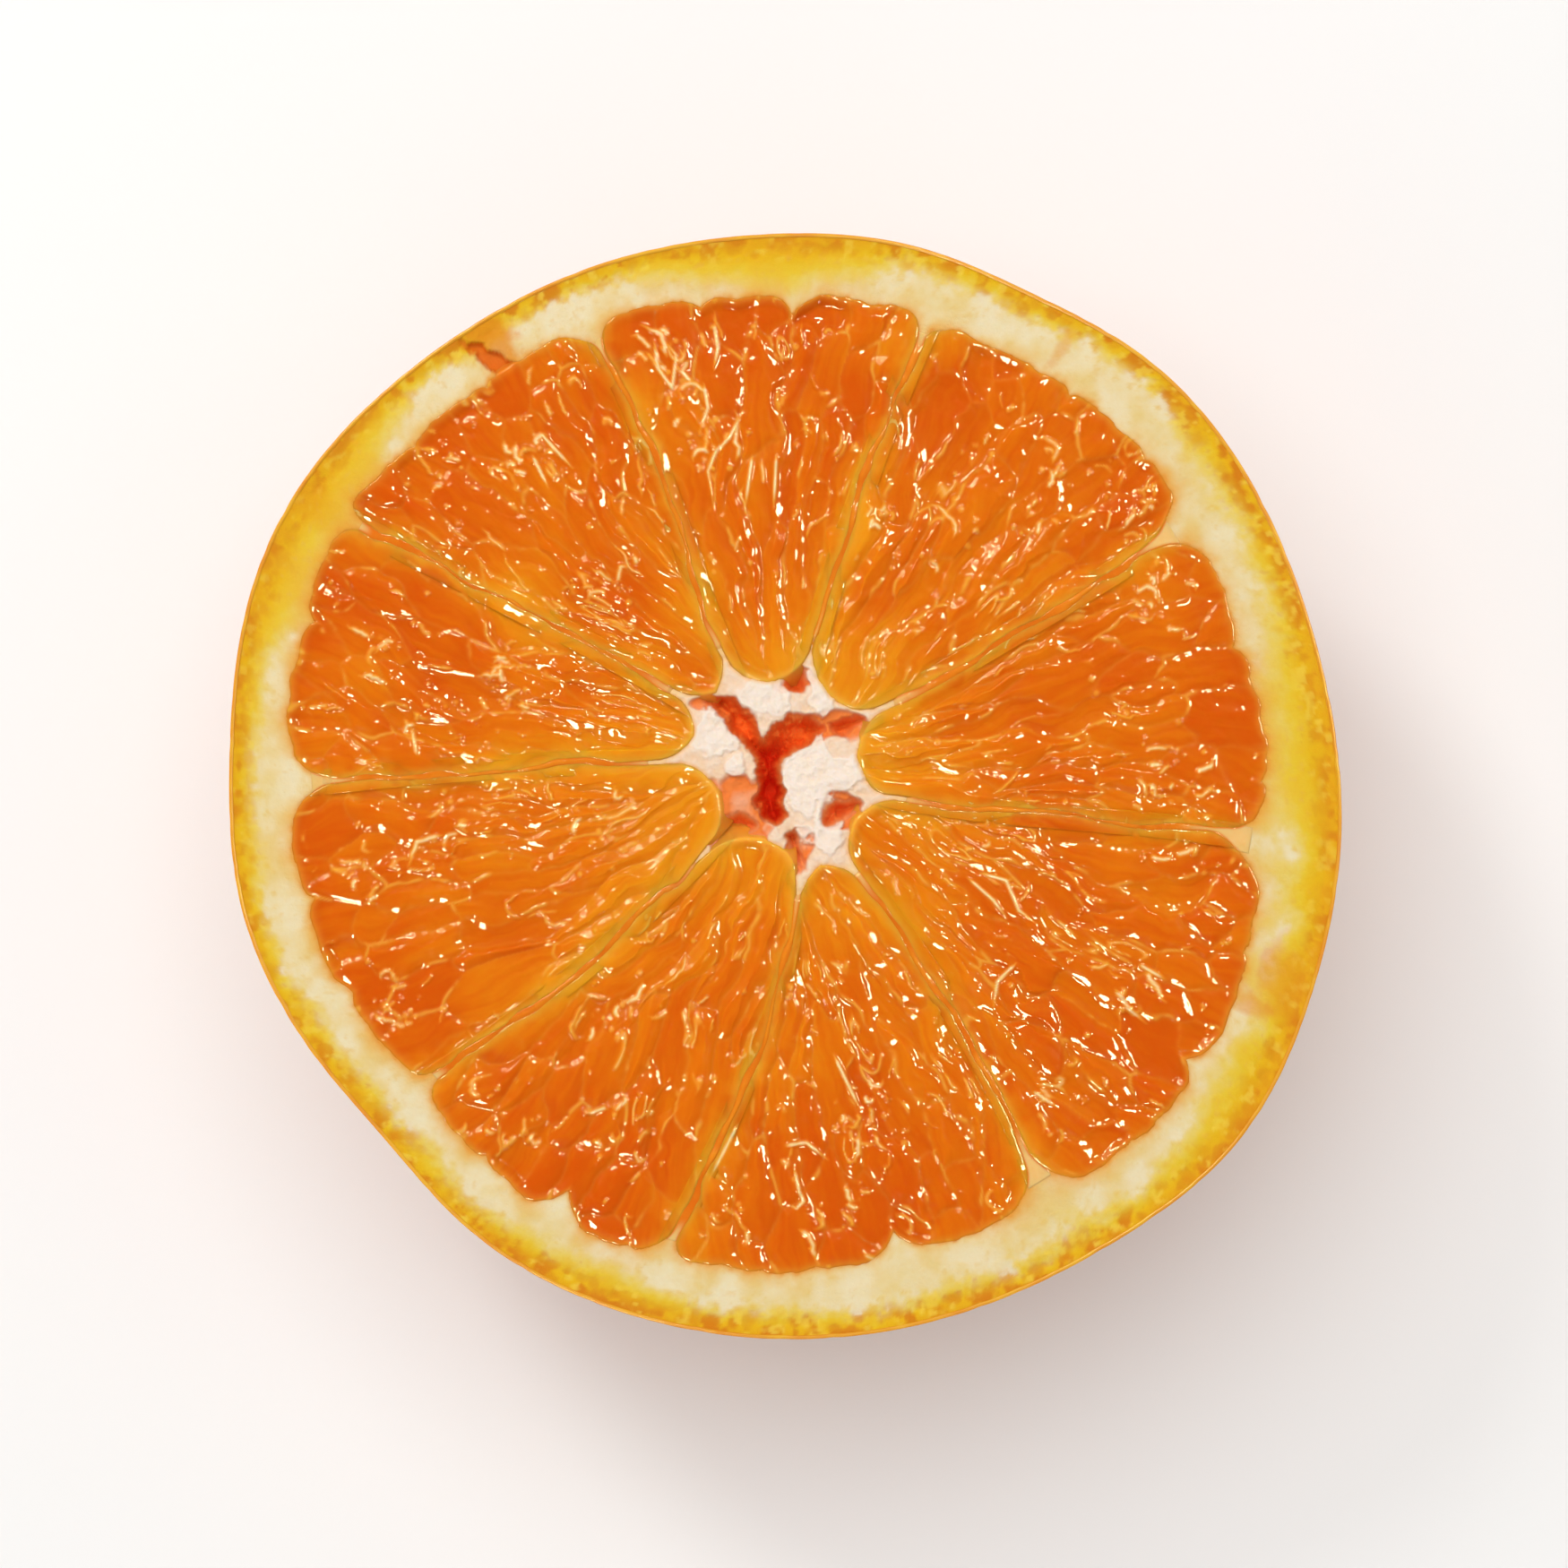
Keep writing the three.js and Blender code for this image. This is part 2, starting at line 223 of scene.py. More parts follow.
def skin_radius(bearing):
    """Radius of the cut face."""
    return MEAN_RADIUS * outline_share(bearing)


def pulp_edge(bearing):
    """Radius of the pulp's ragged border with the rind."""
    x, y = on_bearing(30.0, bearing)
    edge = skin_radius(bearing) - RIND_THICKNESS * rind_share(bearing)
    edge = edge + 0.5 * (np.abs(noise(1, 3.8, x, y)) - 0.25)
    edge = edge + 0.25 * noise(2, 1.3, x, y, octaves=3)
    for cleft, depth in CLEFTS:
        gap = np.abs((bearing - cleft + 180) % 360 - 180) * np.radians(1) * 34
        edge = edge - depth * np.exp(-gap / (0.2 + 0.45 * depth))
    return edge


def waver(x, y, radius):
    """How far the membranes stray from their own line, in degrees."""
    stray = 0.35 * noise(3, 5, x, y) + 0.16 * noise(4, 1.7, x, y)
    return np.degrees(stray / np.maximum(radius, 6)) * smooth(radius, 6, 12)


def septum_bearing(septum, outwards):
    """Bearing of a membrane, from 0 at the core to 1 at the rind."""
    core, middle, rind = septum[:3]
    return (core * (1 - outwards) * (1 - 2 * outwards) + middle * 4 * outwards * (1 - outwards)
            + rind * outwards * (2 * outwards - 1))


def rounded(first, second, radius):
    """How far inside two edges a place is, where their corner is rounded."""
    corner = radius - np.hypot(np.maximum(radius - first, 0), np.maximum(radius - second, 0))
    return np.minimum(np.minimum(first, second), corner)


class Place:
    """Where points of the cut face lie among the segments. inside is the distance in from the edge of
    the pulp, and negative in the membranes, the core and the rind."""

    CORE_CORNER = 2.3

    def __init__(self, x, y):
        self.x, self.y = x, y
        self.r, self.bearing = polar(x, y)
        rim = pulp_edge(self.bearing)
        self.outwards = np.clip((self.r - CORE_RADIUS) / (rim - CORE_RADIUS), 0, 1)
        wavy = self.bearing + waver(x, y, self.r)
        past = np.stack([(wavy - septum_bearing(septum, self.outwards)) % 360 for septum in SEPTA])
        ahead = 360 - past
        self.segment, following = past.argmin(0), ahead.argmin(0)
        past, ahead = past.min(0), ahead.min(0)
        self.corner = SEPTA[np.where(past < ahead, self.segment, following), 4]
        thickness = 0.17 + 0.1 * smooth(self.outwards, 0.25, 0) + 0.08 * smooth(self.outwards, 0.75, 1)
        thickness = thickness + 0.1 * noise(6, 2.2, x, y)
        arc = np.radians(1) * self.r
        self.walls = (past * arc - thickness, ahead * arc - thickness)
        self.wall = np.minimum(*self.walls)
        self.rimward = rim - self.r
        self.coreward = self.r - SEPTA[self.segment, 3] * CORE_RADIUS
        corners = (SEPTA[self.segment, 4], SEPTA[following, 4])
        self.inside = np.minimum.reduce([
            rounded(side, edge, radius)
            for side, corner in zip(self.walls, corners)
            for edge, radius in ((self.rimward, corner), (self.coreward, self.CORE_CORNER))
        ])


# ------------------------------------------------------------------ making meshes


def make_piece(name, slot, points, paint, faces, corners_uv, polygons=()):
    """A piece from points in millimetres about the axis, each with its colour, quads, and polygons with
    more corners. corners_uv holds a place on the piece's own map for each corner of each face, in order."""
    mesh = bpy.data.meshes.new(name)
    quads = np.asarray(faces, np.int64).reshape(-1, 4)
    corners = np.concatenate([quads.ravel(), *[np.asarray(p, np.int64) for p in polygons]])
    totals = np.concatenate([np.full(len(quads), 4), [len(p) for p in polygons]]).astype(np.int64)
    starts = np.concatenate([[0], np.cumsum(totals)[:-1]])
    mesh.vertices.add(len(points))
    mesh.vertices.foreach_set("co", (np.asarray(points, float) * MM + np.array(AXIS)).ravel())
    mesh.loops.add(len(corners))
    mesh.loops.foreach_set("vertex_index", corners)
    mesh.polygons.add(len(totals))
    mesh.polygons.foreach_set("loop_start", starts)
    mesh.polygons.foreach_set("loop_total", totals)
    mesh.polygons.foreach_set("use_smooth", np.ones(len(totals), bool))
    mesh.update(calc_edges=True)
    layer = mesh.uv_layers.new(name="OFBake")
    layer.data.foreach_set("uv", np.asarray(corners_uv, float).ravel())
    attribute = mesh.attributes.new("paint", "FLOAT_COLOR", "POINT")
    attribute.data.foreach_set("color", np.concatenate([paint, np.ones((len(paint), 1))], 1).ravel())
    mesh.validate(verbose=False)
    piece = bpy.data.objects.new(name, mesh)
    bpy.context.scene.collection.objects.link(piece)
    piece.data.materials.append(MATERIALS[slot])
    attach(piece, BODY)
    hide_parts(NODE)


def grid_of(rows, columns):
    """The row value and the column value at each point of a grid."""
    return np.meshgrid(rows, columns, indexing="ij")


def grid_quads(rows, columns):
    """Quads of a grid of points that are numbered row by row."""
    row, column = (a.ravel() for a in grid_of(np.arange(rows - 1), np.arange(columns - 1)))
    at = row * columns + column
    return np.stack([at, at + columns, at + columns + 1, at + 1], 1)


def strips(count, steps, closed=False):
    """Quads between rings of steps points each, and the ring and step numbers of each corner."""
    ring, step = (a.ravel() for a in grid_of(np.arange(count if closed else count - 1), np.arange(steps)))
    after = (step + 1) % steps
    corner_rings = np.stack([ring, ring + 1, ring + 1, ring], 1)
    corner_steps = np.stack([step, step, after, after], 1)
    return (corner_rings % count) * steps + corner_steps, corner_rings, corner_steps


def disc_uv(rings, steps, reach, total_steps, middle=(0.5, 0.5)):
    """Places on the map for corners of rings: reach gives each ring's distance from the middle."""
    angle = 2 * np.pi * steps / total_steps
    distance = np.asarray(reach)[rings]
    return np.stack([middle[0] + distance * np.cos(angle), middle[1] + distance * np.sin(angle)], -1)


def make_sheet(name, slot, shape, x, y, height, paint, base):
    """A closed slab whose top is a grid of points, with plain walls and a flat underside at base. Columns
    run to the left of the rows' direction."""
    rows, columns = shape
    top = np.stack([x, y, height], -1)
    faces = grid_quads(rows, columns)
    line, side = np.arange(columns - 1), np.arange(rows - 1)
    border = np.concatenate([
        side * columns,
        (rows - 1) * columns + line,
        (rows - 1 - side) * columns + columns - 1,
        columns - 1 - line,
    ])
    count = len(border)
    under = top[border].copy()
    under[:, 2] = base
    number = np.arange(count)
    after = (number + 1) % count
    below = len(top)
    walls = np.stack([border, below + number, below + after, border[after]], 1)
    grid = np.stack(grid_of(np.linspace(0, 1, rows), np.linspace(0, 1, columns)), -1)
    grid_uv = grid.reshape(-1, 2) * (0.94, 0.88) + (0.03, 0.09)
    rim, brim = grid_uv[border], (grid_uv[border] - (0.5, 0.53)) * 1.04 + (0.5, 0.53)
    foot_uv = grid.reshape(-1, 2)[border] * (0.9, 0.04) + (0.05, 0.01)
    uv = np.concatenate([
        grid_uv[faces].reshape(-1, 2),
        np.stack([rim, brim, brim[after], rim[after]], 1).reshape(-1, 2),
        foot_uv[::-1],
    ])
    make_piece(name, slot, np.concatenate([top, under]), np.concatenate([paint, paint[border]]),
               np.concatenate([faces, walls]), uv, [below + number[::-1]])


# ------------------------------------------------------------------ materials


def node(tree, kind, **values):
    made = tree.nodes.new(kind)
    for key, value in values.items():
        if key in made.inputs:
            made.inputs[key].default_value = value
        else:
            setattr(made, key, value)
    return made


def grain(tree, scale, detail, stretch=(1, 1, 1)):
    """Noise in the piece's own coordinates, scale in lumps per metre."""
    place = node(tree, "ShaderNodeTexCoord")
    mapping = node(tree, "ShaderNodeMapping")
    mapping.inputs["Scale"].default_value = stretch
    texture = node(tree, "ShaderNodeTexNoise", Scale=scale, Detail=detail, Roughness=0.6)
    tree.links.new(place.outputs["Object"], mapping.inputs["Vector"])
    tree.links.new(mapping.outputs["Vector"], texture.inputs["Vector"])
    return texture.outputs["Fac"]


def mapped(tree, value, low_in, high_in, low_out, high_out):
    """A value stretched from one range to another."""
    made = node(tree, "ShaderNodeMapRange")
    made.inputs["From Min"].default_value = low_in
    made.inputs["From Max"].default_value = high_in
    made.inputs["To Min"].default_value = low_out
    made.inputs["To Max"].default_value = high_out
    tree.links.new(value, made.inputs["Value"])
    return made.outputs["Result"]


def tinted(tree, base, amount, tint):
    """base multiplied by a tint, as far as the amount says."""
    made = node(tree, "ShaderNodeMix", data_type="RGBA", blend_type="MULTIPLY")
    tree.links.new(amount, made.inputs["Factor"])
    tree.links.new(base, made.inputs["A"])
    made.inputs["B"].default_value = (*tint, 1)
    return made.outputs["Result"]


def bumped(tree, shader, height, distance, strength):
    bump = node(tree, "ShaderNodeBump")
    bump.inputs["Strength"].default_value = strength
    bump.inputs["Distance"].default_value = distance
    tree.links.new(height, bump.inputs["Height"])
    tree.links.new(bump.outputs["Normal"], shader.inputs["Normal"])


def painted(tree):
    """The colour that the piece's points carry."""
    return node(tree, "ShaderNodeAttribute", attribute_name="paint").outputs["Color"]


def make_material(name, slot_colour, radius, noise_grain, tint, bump, **sockets):
    """A material whose colour is the piece's own, painted point by point, with a finer grain of a tint.
    radius is how far light goes inside, by channel. noise_grain holds the noise's scale and detail, the
    range of it that shows and the tint's strength; bump the scale, detail, distance and strength."""
    material = bpy.data.materials.new(name)
    material.use_nodes = True
    material.diffuse_color = (*slot_colour, 1)
    tree = material.node_tree
    shader = tree.nodes["Principled BSDF"]
    for socket, value in sockets.items():
        shader.inputs[socket.replace("_", " ")].default_value = value
    if radius:
        shader.inputs["Subsurface Radius"].default_value = radius
    scale, detail, low_in, high_in, strength = noise_grain
    amount = mapped(tree, grain(tree, scale, detail), low_in, high_in, 0, strength)
    tree.links.new(tinted(tree, painted(tree), amount, tint), shader.inputs["Base Color"])
    scale, detail, distance, strength = bump
    bumped(tree, shader, grain(tree, scale, detail), distance, strength)
    return material, tree, shader


def make_materials():
    made = {}
    made["peel"], tree, shader = make_material(
        "peel", colour(226, 130, 20), (1.0, 0.4, 0.1), (700, 4, 0.35, 0.75, 0.35), (1.0, 0.8, 0.6),
        (2600, 4, 0.0001, 0.35), Roughness=0.42, IOR=1.45, Specular_IOR_Level=0.35,
        Subsurface_Weight=0.12, Subsurface_Scale=0.0012, Coat_Weight=0.45, Coat_Roughness=0.18)
    rough = mapped(tree, grain(tree, 1500, 3), 0.3, 0.7, 0.34, 0.52)
    tree.links.new(rough, shader.inputs["Roughness"])
    made["pith"], *_ = make_material(
        "pith", colour(233, 210, 153), (1.0, 0.6, 0.3), (2200, 5, 0.4, 0.75, 0.35), (1.0, 0.9, 0.66),
        (3600, 5, 0.00014, 0.6), Roughness=0.62, Specular_IOR_Level=0.12, Subsurface_Weight=0.2,
        Subsurface_Scale=0.0005)
    made["pulp"], *_ = make_material(
        "pulp", colour(224, 115, 24), (1.0, 0.4, 0.08), (1400, 3, 0.35, 0.7, 0.5), (1.0, 0.86, 0.7),
        (2600, 2, 0.00008, 0.15), Roughness=0.3, IOR=1.37, Specular_IOR_Level=0.06,
        Subsurface_Weight=0.55, Subsurface_Scale=0.0014, Coat_Weight=1.0, Coat_Roughness=0.025,
        Coat_IOR=1.42)
    made["membrane"], *_ = make_material(
        "membrane", colour(236, 160, 60), (1.0, 0.5, 0.15), (1600, 3, 0.35, 0.7, 0.4), (1.0, 0.84, 0.6),
        (3000, 4, 0.00008, 0.4), Roughness=0.35, IOR=1.37, Specular_IOR_Level=0.1,
        Subsurface_Weight=0.4, Subsurface_Scale=0.0012, Coat_Weight=0.7, Coat_Roughness=0.08,
        Coat_IOR=1.38)
    made["calyx"], *_ = make_material(
        "calyx", colour(120, 110, 62), None, (1500, 5, 0.35, 0.7, 0.7), (0.5, 0.42, 0.3),
        (3000, 5, 0.0002, 0.7), Roughness=0.8)
    return made


MATERIALS = make_materials()

# ------------------------------------------------------------------ the dome: peel, pores and stem end

PEEL_GRID = 300
PEEL_RECESS = 3.3        # the cut face's tissues lie in a recess this deep
SKIN_EDGE = 0.28         # width of the peel's own edge at the cut
PORE_PITCH = 1.6
PORE_DEPTH = 0.2
PORE_WIDTH = 0.5
CALYX_STEPS = 150
CALYX_RINGS = 26


def disc_from_square(u, v):
    """Maps the square from -1 to 1 onto a disc, as (distance, angle in radians)."""
    wide = np.abs(u) > np.abs(v)
    safe_u, safe_v = np.where(u == 0, 1, u), np.where(v == 0, 1, v)
    distance = np.where(wide, u, v)
    angle = np.where(wide, np.pi / 4 * v / safe_u, np.pi / 2 - np.pi / 4 * u / safe_v)
    centre = (u == 0) & (v == 0)
    return np.abs(np.where(centre, 0, distance)), angle + np.pi * (distance < 0)


RING_SHARE = REST_RING[1] / MEAN_RADIUS
DOME_DEPTH = HALF_HEIGHT / math.sqrt(1 - RING_SHARE ** 2)     # to the pole, if the ring weren't flat


def dome_profile(distance):
    """Radius share, depth below the cut on the smooth dome, height above the rest plane and likeness to
    the cut's outline, from 0 at the pole to 1 at the cut."""
    depth = DOME_DEPTH * (1 - distance ** 2)
    radius = np.sin(np.arccos(1 - distance ** 2))
    r = radius * MEAN_RADIUS
    dimple = STEM_DIMPLE_DEPTH * smooth(r, REST_RING[0], CALYX_RADIUS + 0.3)
    likeness = np.clip((radius - RING_SHARE) / (1 - RING_SHARE), 0, 1)
    return radius, depth, np.where(r < REST_RING[1], dimple, HALF_HEIGHT - depth), likeness


def make_peel():
    side = np.linspace(-1, 1, PEEL_GRID)
    u, v = np.meshgrid(side, side)
    distance, angle = disc_from_square(u.ravel(), v.ravel())
    bearing = np.degrees(angle)
    radius, depth, height, likeness = dome_profile(distance)
    pore = pores(np.stack([*on_bearing(radius * MEAN_RADIUS, bearing), -depth], 1))
    radius = radius * MEAN_RADIUS * mix(1, outline_share(bearing), likeness)
    x, y = on_bearing(radius, bearing)
    points = np.stack([x, y, height - HALF_HEIGHT], 1)

    outward = points / (MEAN_RADIUS ** 2, MEAN_RADIUS ** 2, HALF_HEIGHT ** 2)
    outward /= np.linalg.norm(outward, axis=1, keepdims=True)
    off_ring = smooth(radius, REST_RING[1], REST_RING[1] + 3) + smooth(radius, REST_RING[0], REST_RING[0] - 2)
    edge = smooth(distance, 1.0, 0.985)
    furrow = 0.5 - 0.5 * np.cos(np.radians(FURROWS * bearing + 25 * np.sin(np.radians(3 * bearing))))
    furrow_reach = smooth(radius, 20, REST_RING[1]) * off_ring
    lumps = noise(11, 9, *points.T, octaves=2)
    away = smooth(distance, 1.0, 0.9)
    relief = -PORE_DEPTH * pore * off_ring + 0.2 * lumps * off_ring * away - 0.4 * furrow * furrow_reach
    fine = 0.02 * noise(12, 0.9, *points.T, octaves=2) * off_ring
    points = points + outward * (relief * np.maximum(edge, 0.25) + fine * edge)[:, None]
    points[:, 2] = np.maximum(points[:, 2], -HALF_HEIGHT)

    broad = 0.5 + 0.5 * noise(13, 14, *points.T, octaves=2)
    paint = blend(colour(228, 118, 8), colour(238, 146, 16), broad)
    speckle = noise(15, 1.1, *points.T, octaves=2)
    paint = blend(paint, colour(246, 160, 24), 0.25 * smooth(speckle, 0.0, 0.6))
    # Darker, deeper orange in the pore dimples: painted shade in the pits.
    paint = blend(paint, colour(208, 86, 0), 0.7 * pore)
    paint = blend(paint, colour(196, 142, 40), 0.5 * smooth(radius, 9, 4))
    paint = blend(paint, colour(228, 150, 20), 0.8 * smooth(distance, 0.98, 1))

    border = square_border(PEEL_GRID)
    rim_r, rim_bearing = polar(*points[border, :2].T)
    rings = [(rim_r - 0.03, -0.02), (rim_r - 0.1, 0.012), (rim_r - SKIN_EDGE, 0.0)]
    rings += [(rim_r - SKIN_EDGE - 0.03, -PEEL_RECESS), (np.full_like(rim_r, 9.9), -PEEL_RECESS),
              (np.full_like(rim_r, 9.8), -CORE_HOLLOW_DEPTH - 2)]
    extra, extra_paint = [], []
    for depth, (ring_r, ring_z) in enumerate(rings):
        ring_x, ring_y = on_bearing(ring_r, rim_bearing)
        extra.append(np.stack([ring_x, ring_y, np.full_like(ring_x, ring_z)], 1))
        mottle = 0.5 + 0.8 * noise(14, 1.4, ring_x, ring_y, octaves=2)
        shade = blend(colour(222, 140, 14), colour(229, 166, 22), np.clip(mottle, 0, 1))
        extra_paint.append(shade if depth < 3 else np.tile(colour(233, 200, 130), (len(border), 1)))
    points[border, 2] = -0.06
    inner, steps = len(points), len(border)

    grid_faces = grid_quads(PEEL_GRID, PEEL_GRID)
    grid_places = np.stack([u.ravel(), v.ravel()], 1)
    numbers = np.concatenate([border, np.arange(inner, inner + steps * len(rings))])
    faces, corner_rings, corner_steps = strips(len(rings) + 1, steps)
    strip_faces = numbers[faces][:, ::-1]
    reach = 1 + 0.018 * np.arange(len(rings) + 1)
    frame_uv = grid_places[border][corner_steps] * reach[corner_rings][..., None]
    floor = np.arange(inner + steps * (len(rings) - 1), inner + steps * len(rings))
    floor_angle = 2 * np.pi * np.arange(steps) / steps
    floor_uv = np.stack([0.965 + 0.02 * np.cos(floor_angle), 0.965 + 0.02 * np.sin(floor_angle)], 1)
    scale, shift = 0.413, 0.465     # leaves the map's upper right corner to the floor
    corner_uv = np.concatenate([
        grid_places[grid_faces].reshape(-1, 2) * scale + shift,
        frame_uv[:, ::-1].reshape(-1, 2) * scale + shift,
        floor_uv,
    ])
    make_piece("peel", "peel", np.concatenate([points, *extra]), np.concatenate([paint, *extra_paint]),
               np.concatenate([grid_faces, strip_faces]), corner_uv, [floor])


def square_border(count):
    """Numbers of a square grid's border points, counter-clockwise from the lower left."""
    line = np.arange(count - 1)
    return np.concatenate([
        line, line * count + count - 1, (count - 1) * count + (count - 1 - line), (count - 1 - line) * count,
    ])


def pores(points):
    """How deep in an oil gland's pore each point of the smooth dome lies, from 0 to 1."""
    area = 2 * math.pi * MEAN_RADIUS * HALF_HEIGHT
    count = int(area / (PORE_PITCH ** 2 * 0.87))
    rng = np.random.default_rng(SEED)
    height = (np.arange(count) + 0.5) / count
    turn = np.arange(count) * math.pi * (3 - math.sqrt(5))
    ring = np.sqrt(1 - height ** 2)
    centres = np.stack([ring * np.cos(turn), ring * np.sin(turn), -height], 1)
    centres += rng.normal(0, PORE_PITCH * 0.22 / MEAN_RADIUS, centres.shape)
    centres /= np.linalg.norm(centres, axis=1, keepdims=True)
    centres *= (MEAN_RADIUS, MEAN_RADIUS, DOME_DEPTH)
    strength = rng.uniform(0.45, 1.0, count)
    width = PORE_WIDTH * rng.uniform(0.8, 1.35, count)
    tree = kdtree.KDTree(count)
    for index, centre in enumerate(centres):
        tree.insert(centre, index)
    tree.balance()
    found = [tree.find(point)[1:] for point in points.tolist()]
    nearest = np.array([f[0] for f in found])
    gap = np.array([f[1] for f in found])
    return np.exp(-(gap / width[nearest]) ** 2) * strength[nearest]


def make_calyx():
    """The dry five-lobed button that the stem leaves."""
    steps = CALYX_STEPS
    bearing = np.arange(steps) * 360 / steps
    lobes = 1 + 0.16 * np.cos(np.radians(5 * bearing)) + 0.05 * noise(21, 1, *on_bearing(2.0, bearing))
    floor = -HALF_HEIGHT + STEM_DIMPLE_DEPTH + 0.3
    rings, paints = [], []
    for s in np.linspace(0.04, 1, CALYX_RINGS):
        reach = mix(1, lobes, smooth(s, 0.35, 0.9))
        x, y = on_bearing(CALYX_RADIUS * s * reach, bearing)
        crease = np.abs(np.sin(np.radians(2.5 * bearing + 90)))
        thick = CALYX_HEIGHT * (1 - 0.75 * s ** 3) * (0.88 + 0.12 * crease)
        thick = thick - 0.5 * (1 - smooth(s, 0.2, 0.36)) + 0.12 * noise(22, 0.8, x, y, octaves=3)
        z = floor - 0.3 - np.maximum(thick, 0.05)
        rings.append(np.stack([x, y, z + 0 * x], 1))
        dark = smooth(s, 0.32, 0.15) * 0.7 + 0.3 * (1 - crease) * smooth(s, 0.4, 0.8)
        dry = blend(colour(138, 128, 74), colour(104, 92, 52), 0.5 + 0.5 * noise(23, 1.2, x, y))
        paints.append(blend(dry, colour(62, 48, 28), np.clip(dark, 0, 1)))
    back = rings[-1].copy()
    back[:, 2] = floor
    rings.append(back)
    paints.append(paints[-1])
    total = len(rings)
    faces, corner_rings, corner_steps = strips(total, steps)
    reach = np.linspace(0.015, 0.47, total)
    middle = np.arange(steps)
    top = np.arange((total - 1) * steps, total * steps)[::-1]
    corner_uv = np.concatenate([
        disc_uv(corner_rings[:, ::-1], corner_steps[:, ::-1], reach, steps).reshape(-1, 2),
        disc_uv(np.zeros(steps, int), middle, [0.015], steps),
        disc_uv(np.zeros(steps, int), np.arange(steps)[::-1], [0.03], steps, (0.05, 0.05)),
    ])
    make_piece("calyx", "calyx", np.concatenate(rings), np.concatenate(paints), faces[:, ::-1], corner_uv,
               [middle[::-1], top[::-1]])


# ------------------------------------------------------------------ the cut rind: white pith and its glands

RING_STEPS = 1300
SHOWN_RINGS = 40
HIDDEN_RINGS = 30
RING_DEPTH = 2.6
WEDGE_REACH = 6.0        # the ring runs this far in under the pulp, so that its wedges show between segments
DIVE = 2.2               # how steeply a tissue drops away beneath its neighbour
RIND_TONE = (0.93, 0.95, 0.86)
GLANDS = 190
# How far the yellow outer layer reaches into the pith, every 15 degrees, as a share of the rind.
YELLOW = [
    0.72, 0.4, 0.34, 0.3, 0.3, 0.34, 0.6, 0.3, 0.36, 0.4, 0.78, 0.5,
    0.3, 0.28, 0.3, 0.34, 0.36, 0.34, 0.34, 0.36, 0.34, 0.42, 0.66, 0.6,
]
# Torn spots and cracks: bearing, distance in from the skin, length, width, depth, turn from the radius.
TEARS = [
    (125.5, 2.9, 3.0, 1.1, 0.7, 30),
    (127.0, 1.2, 1.8, 0.5, 0.3, 5),
]
# Orange stains in the rind: bearing, distance in from the skin, length, width and strength.
STAINS = [
    (124.5, 2.3, 6.0, 3.6, 0.85), (337.0, 2.0, 5.0, 6.0, 0.55), (333.0, 3.6, 3.0, 1.6, 0.5),
    (151.0, 2.4, 5.0, 3.0, 0.25), (56.0, 2.4, 4.0, 1.2, 0.4),
]


def glands():
    """Oil glands cut through in the yellow layer: bearing, depth below the skin, radius, strength."""
    rng = np.random.default_rng(SEED + 5)
    count = GLANDS
    bearing = (np.arange(count) + rng.uniform(-0.4, 0.4, count)) * 360 / count
    depth = rng.uniform(0.35, 1.5, count)
    radius = rng.uniform(0.3, 0.75, count)
    lower = np.exp(-((bearing - 275) / 55) ** 2) + np.exp(-((bearing - 35) / 30) ** 2)
    strength = rng.uniform(0.15, 0.6, count) + 0.5 * lower * rng.uniform(0.3, 1, count)
    return bearing, depth, radius, np.clip(strength, 0, 1)


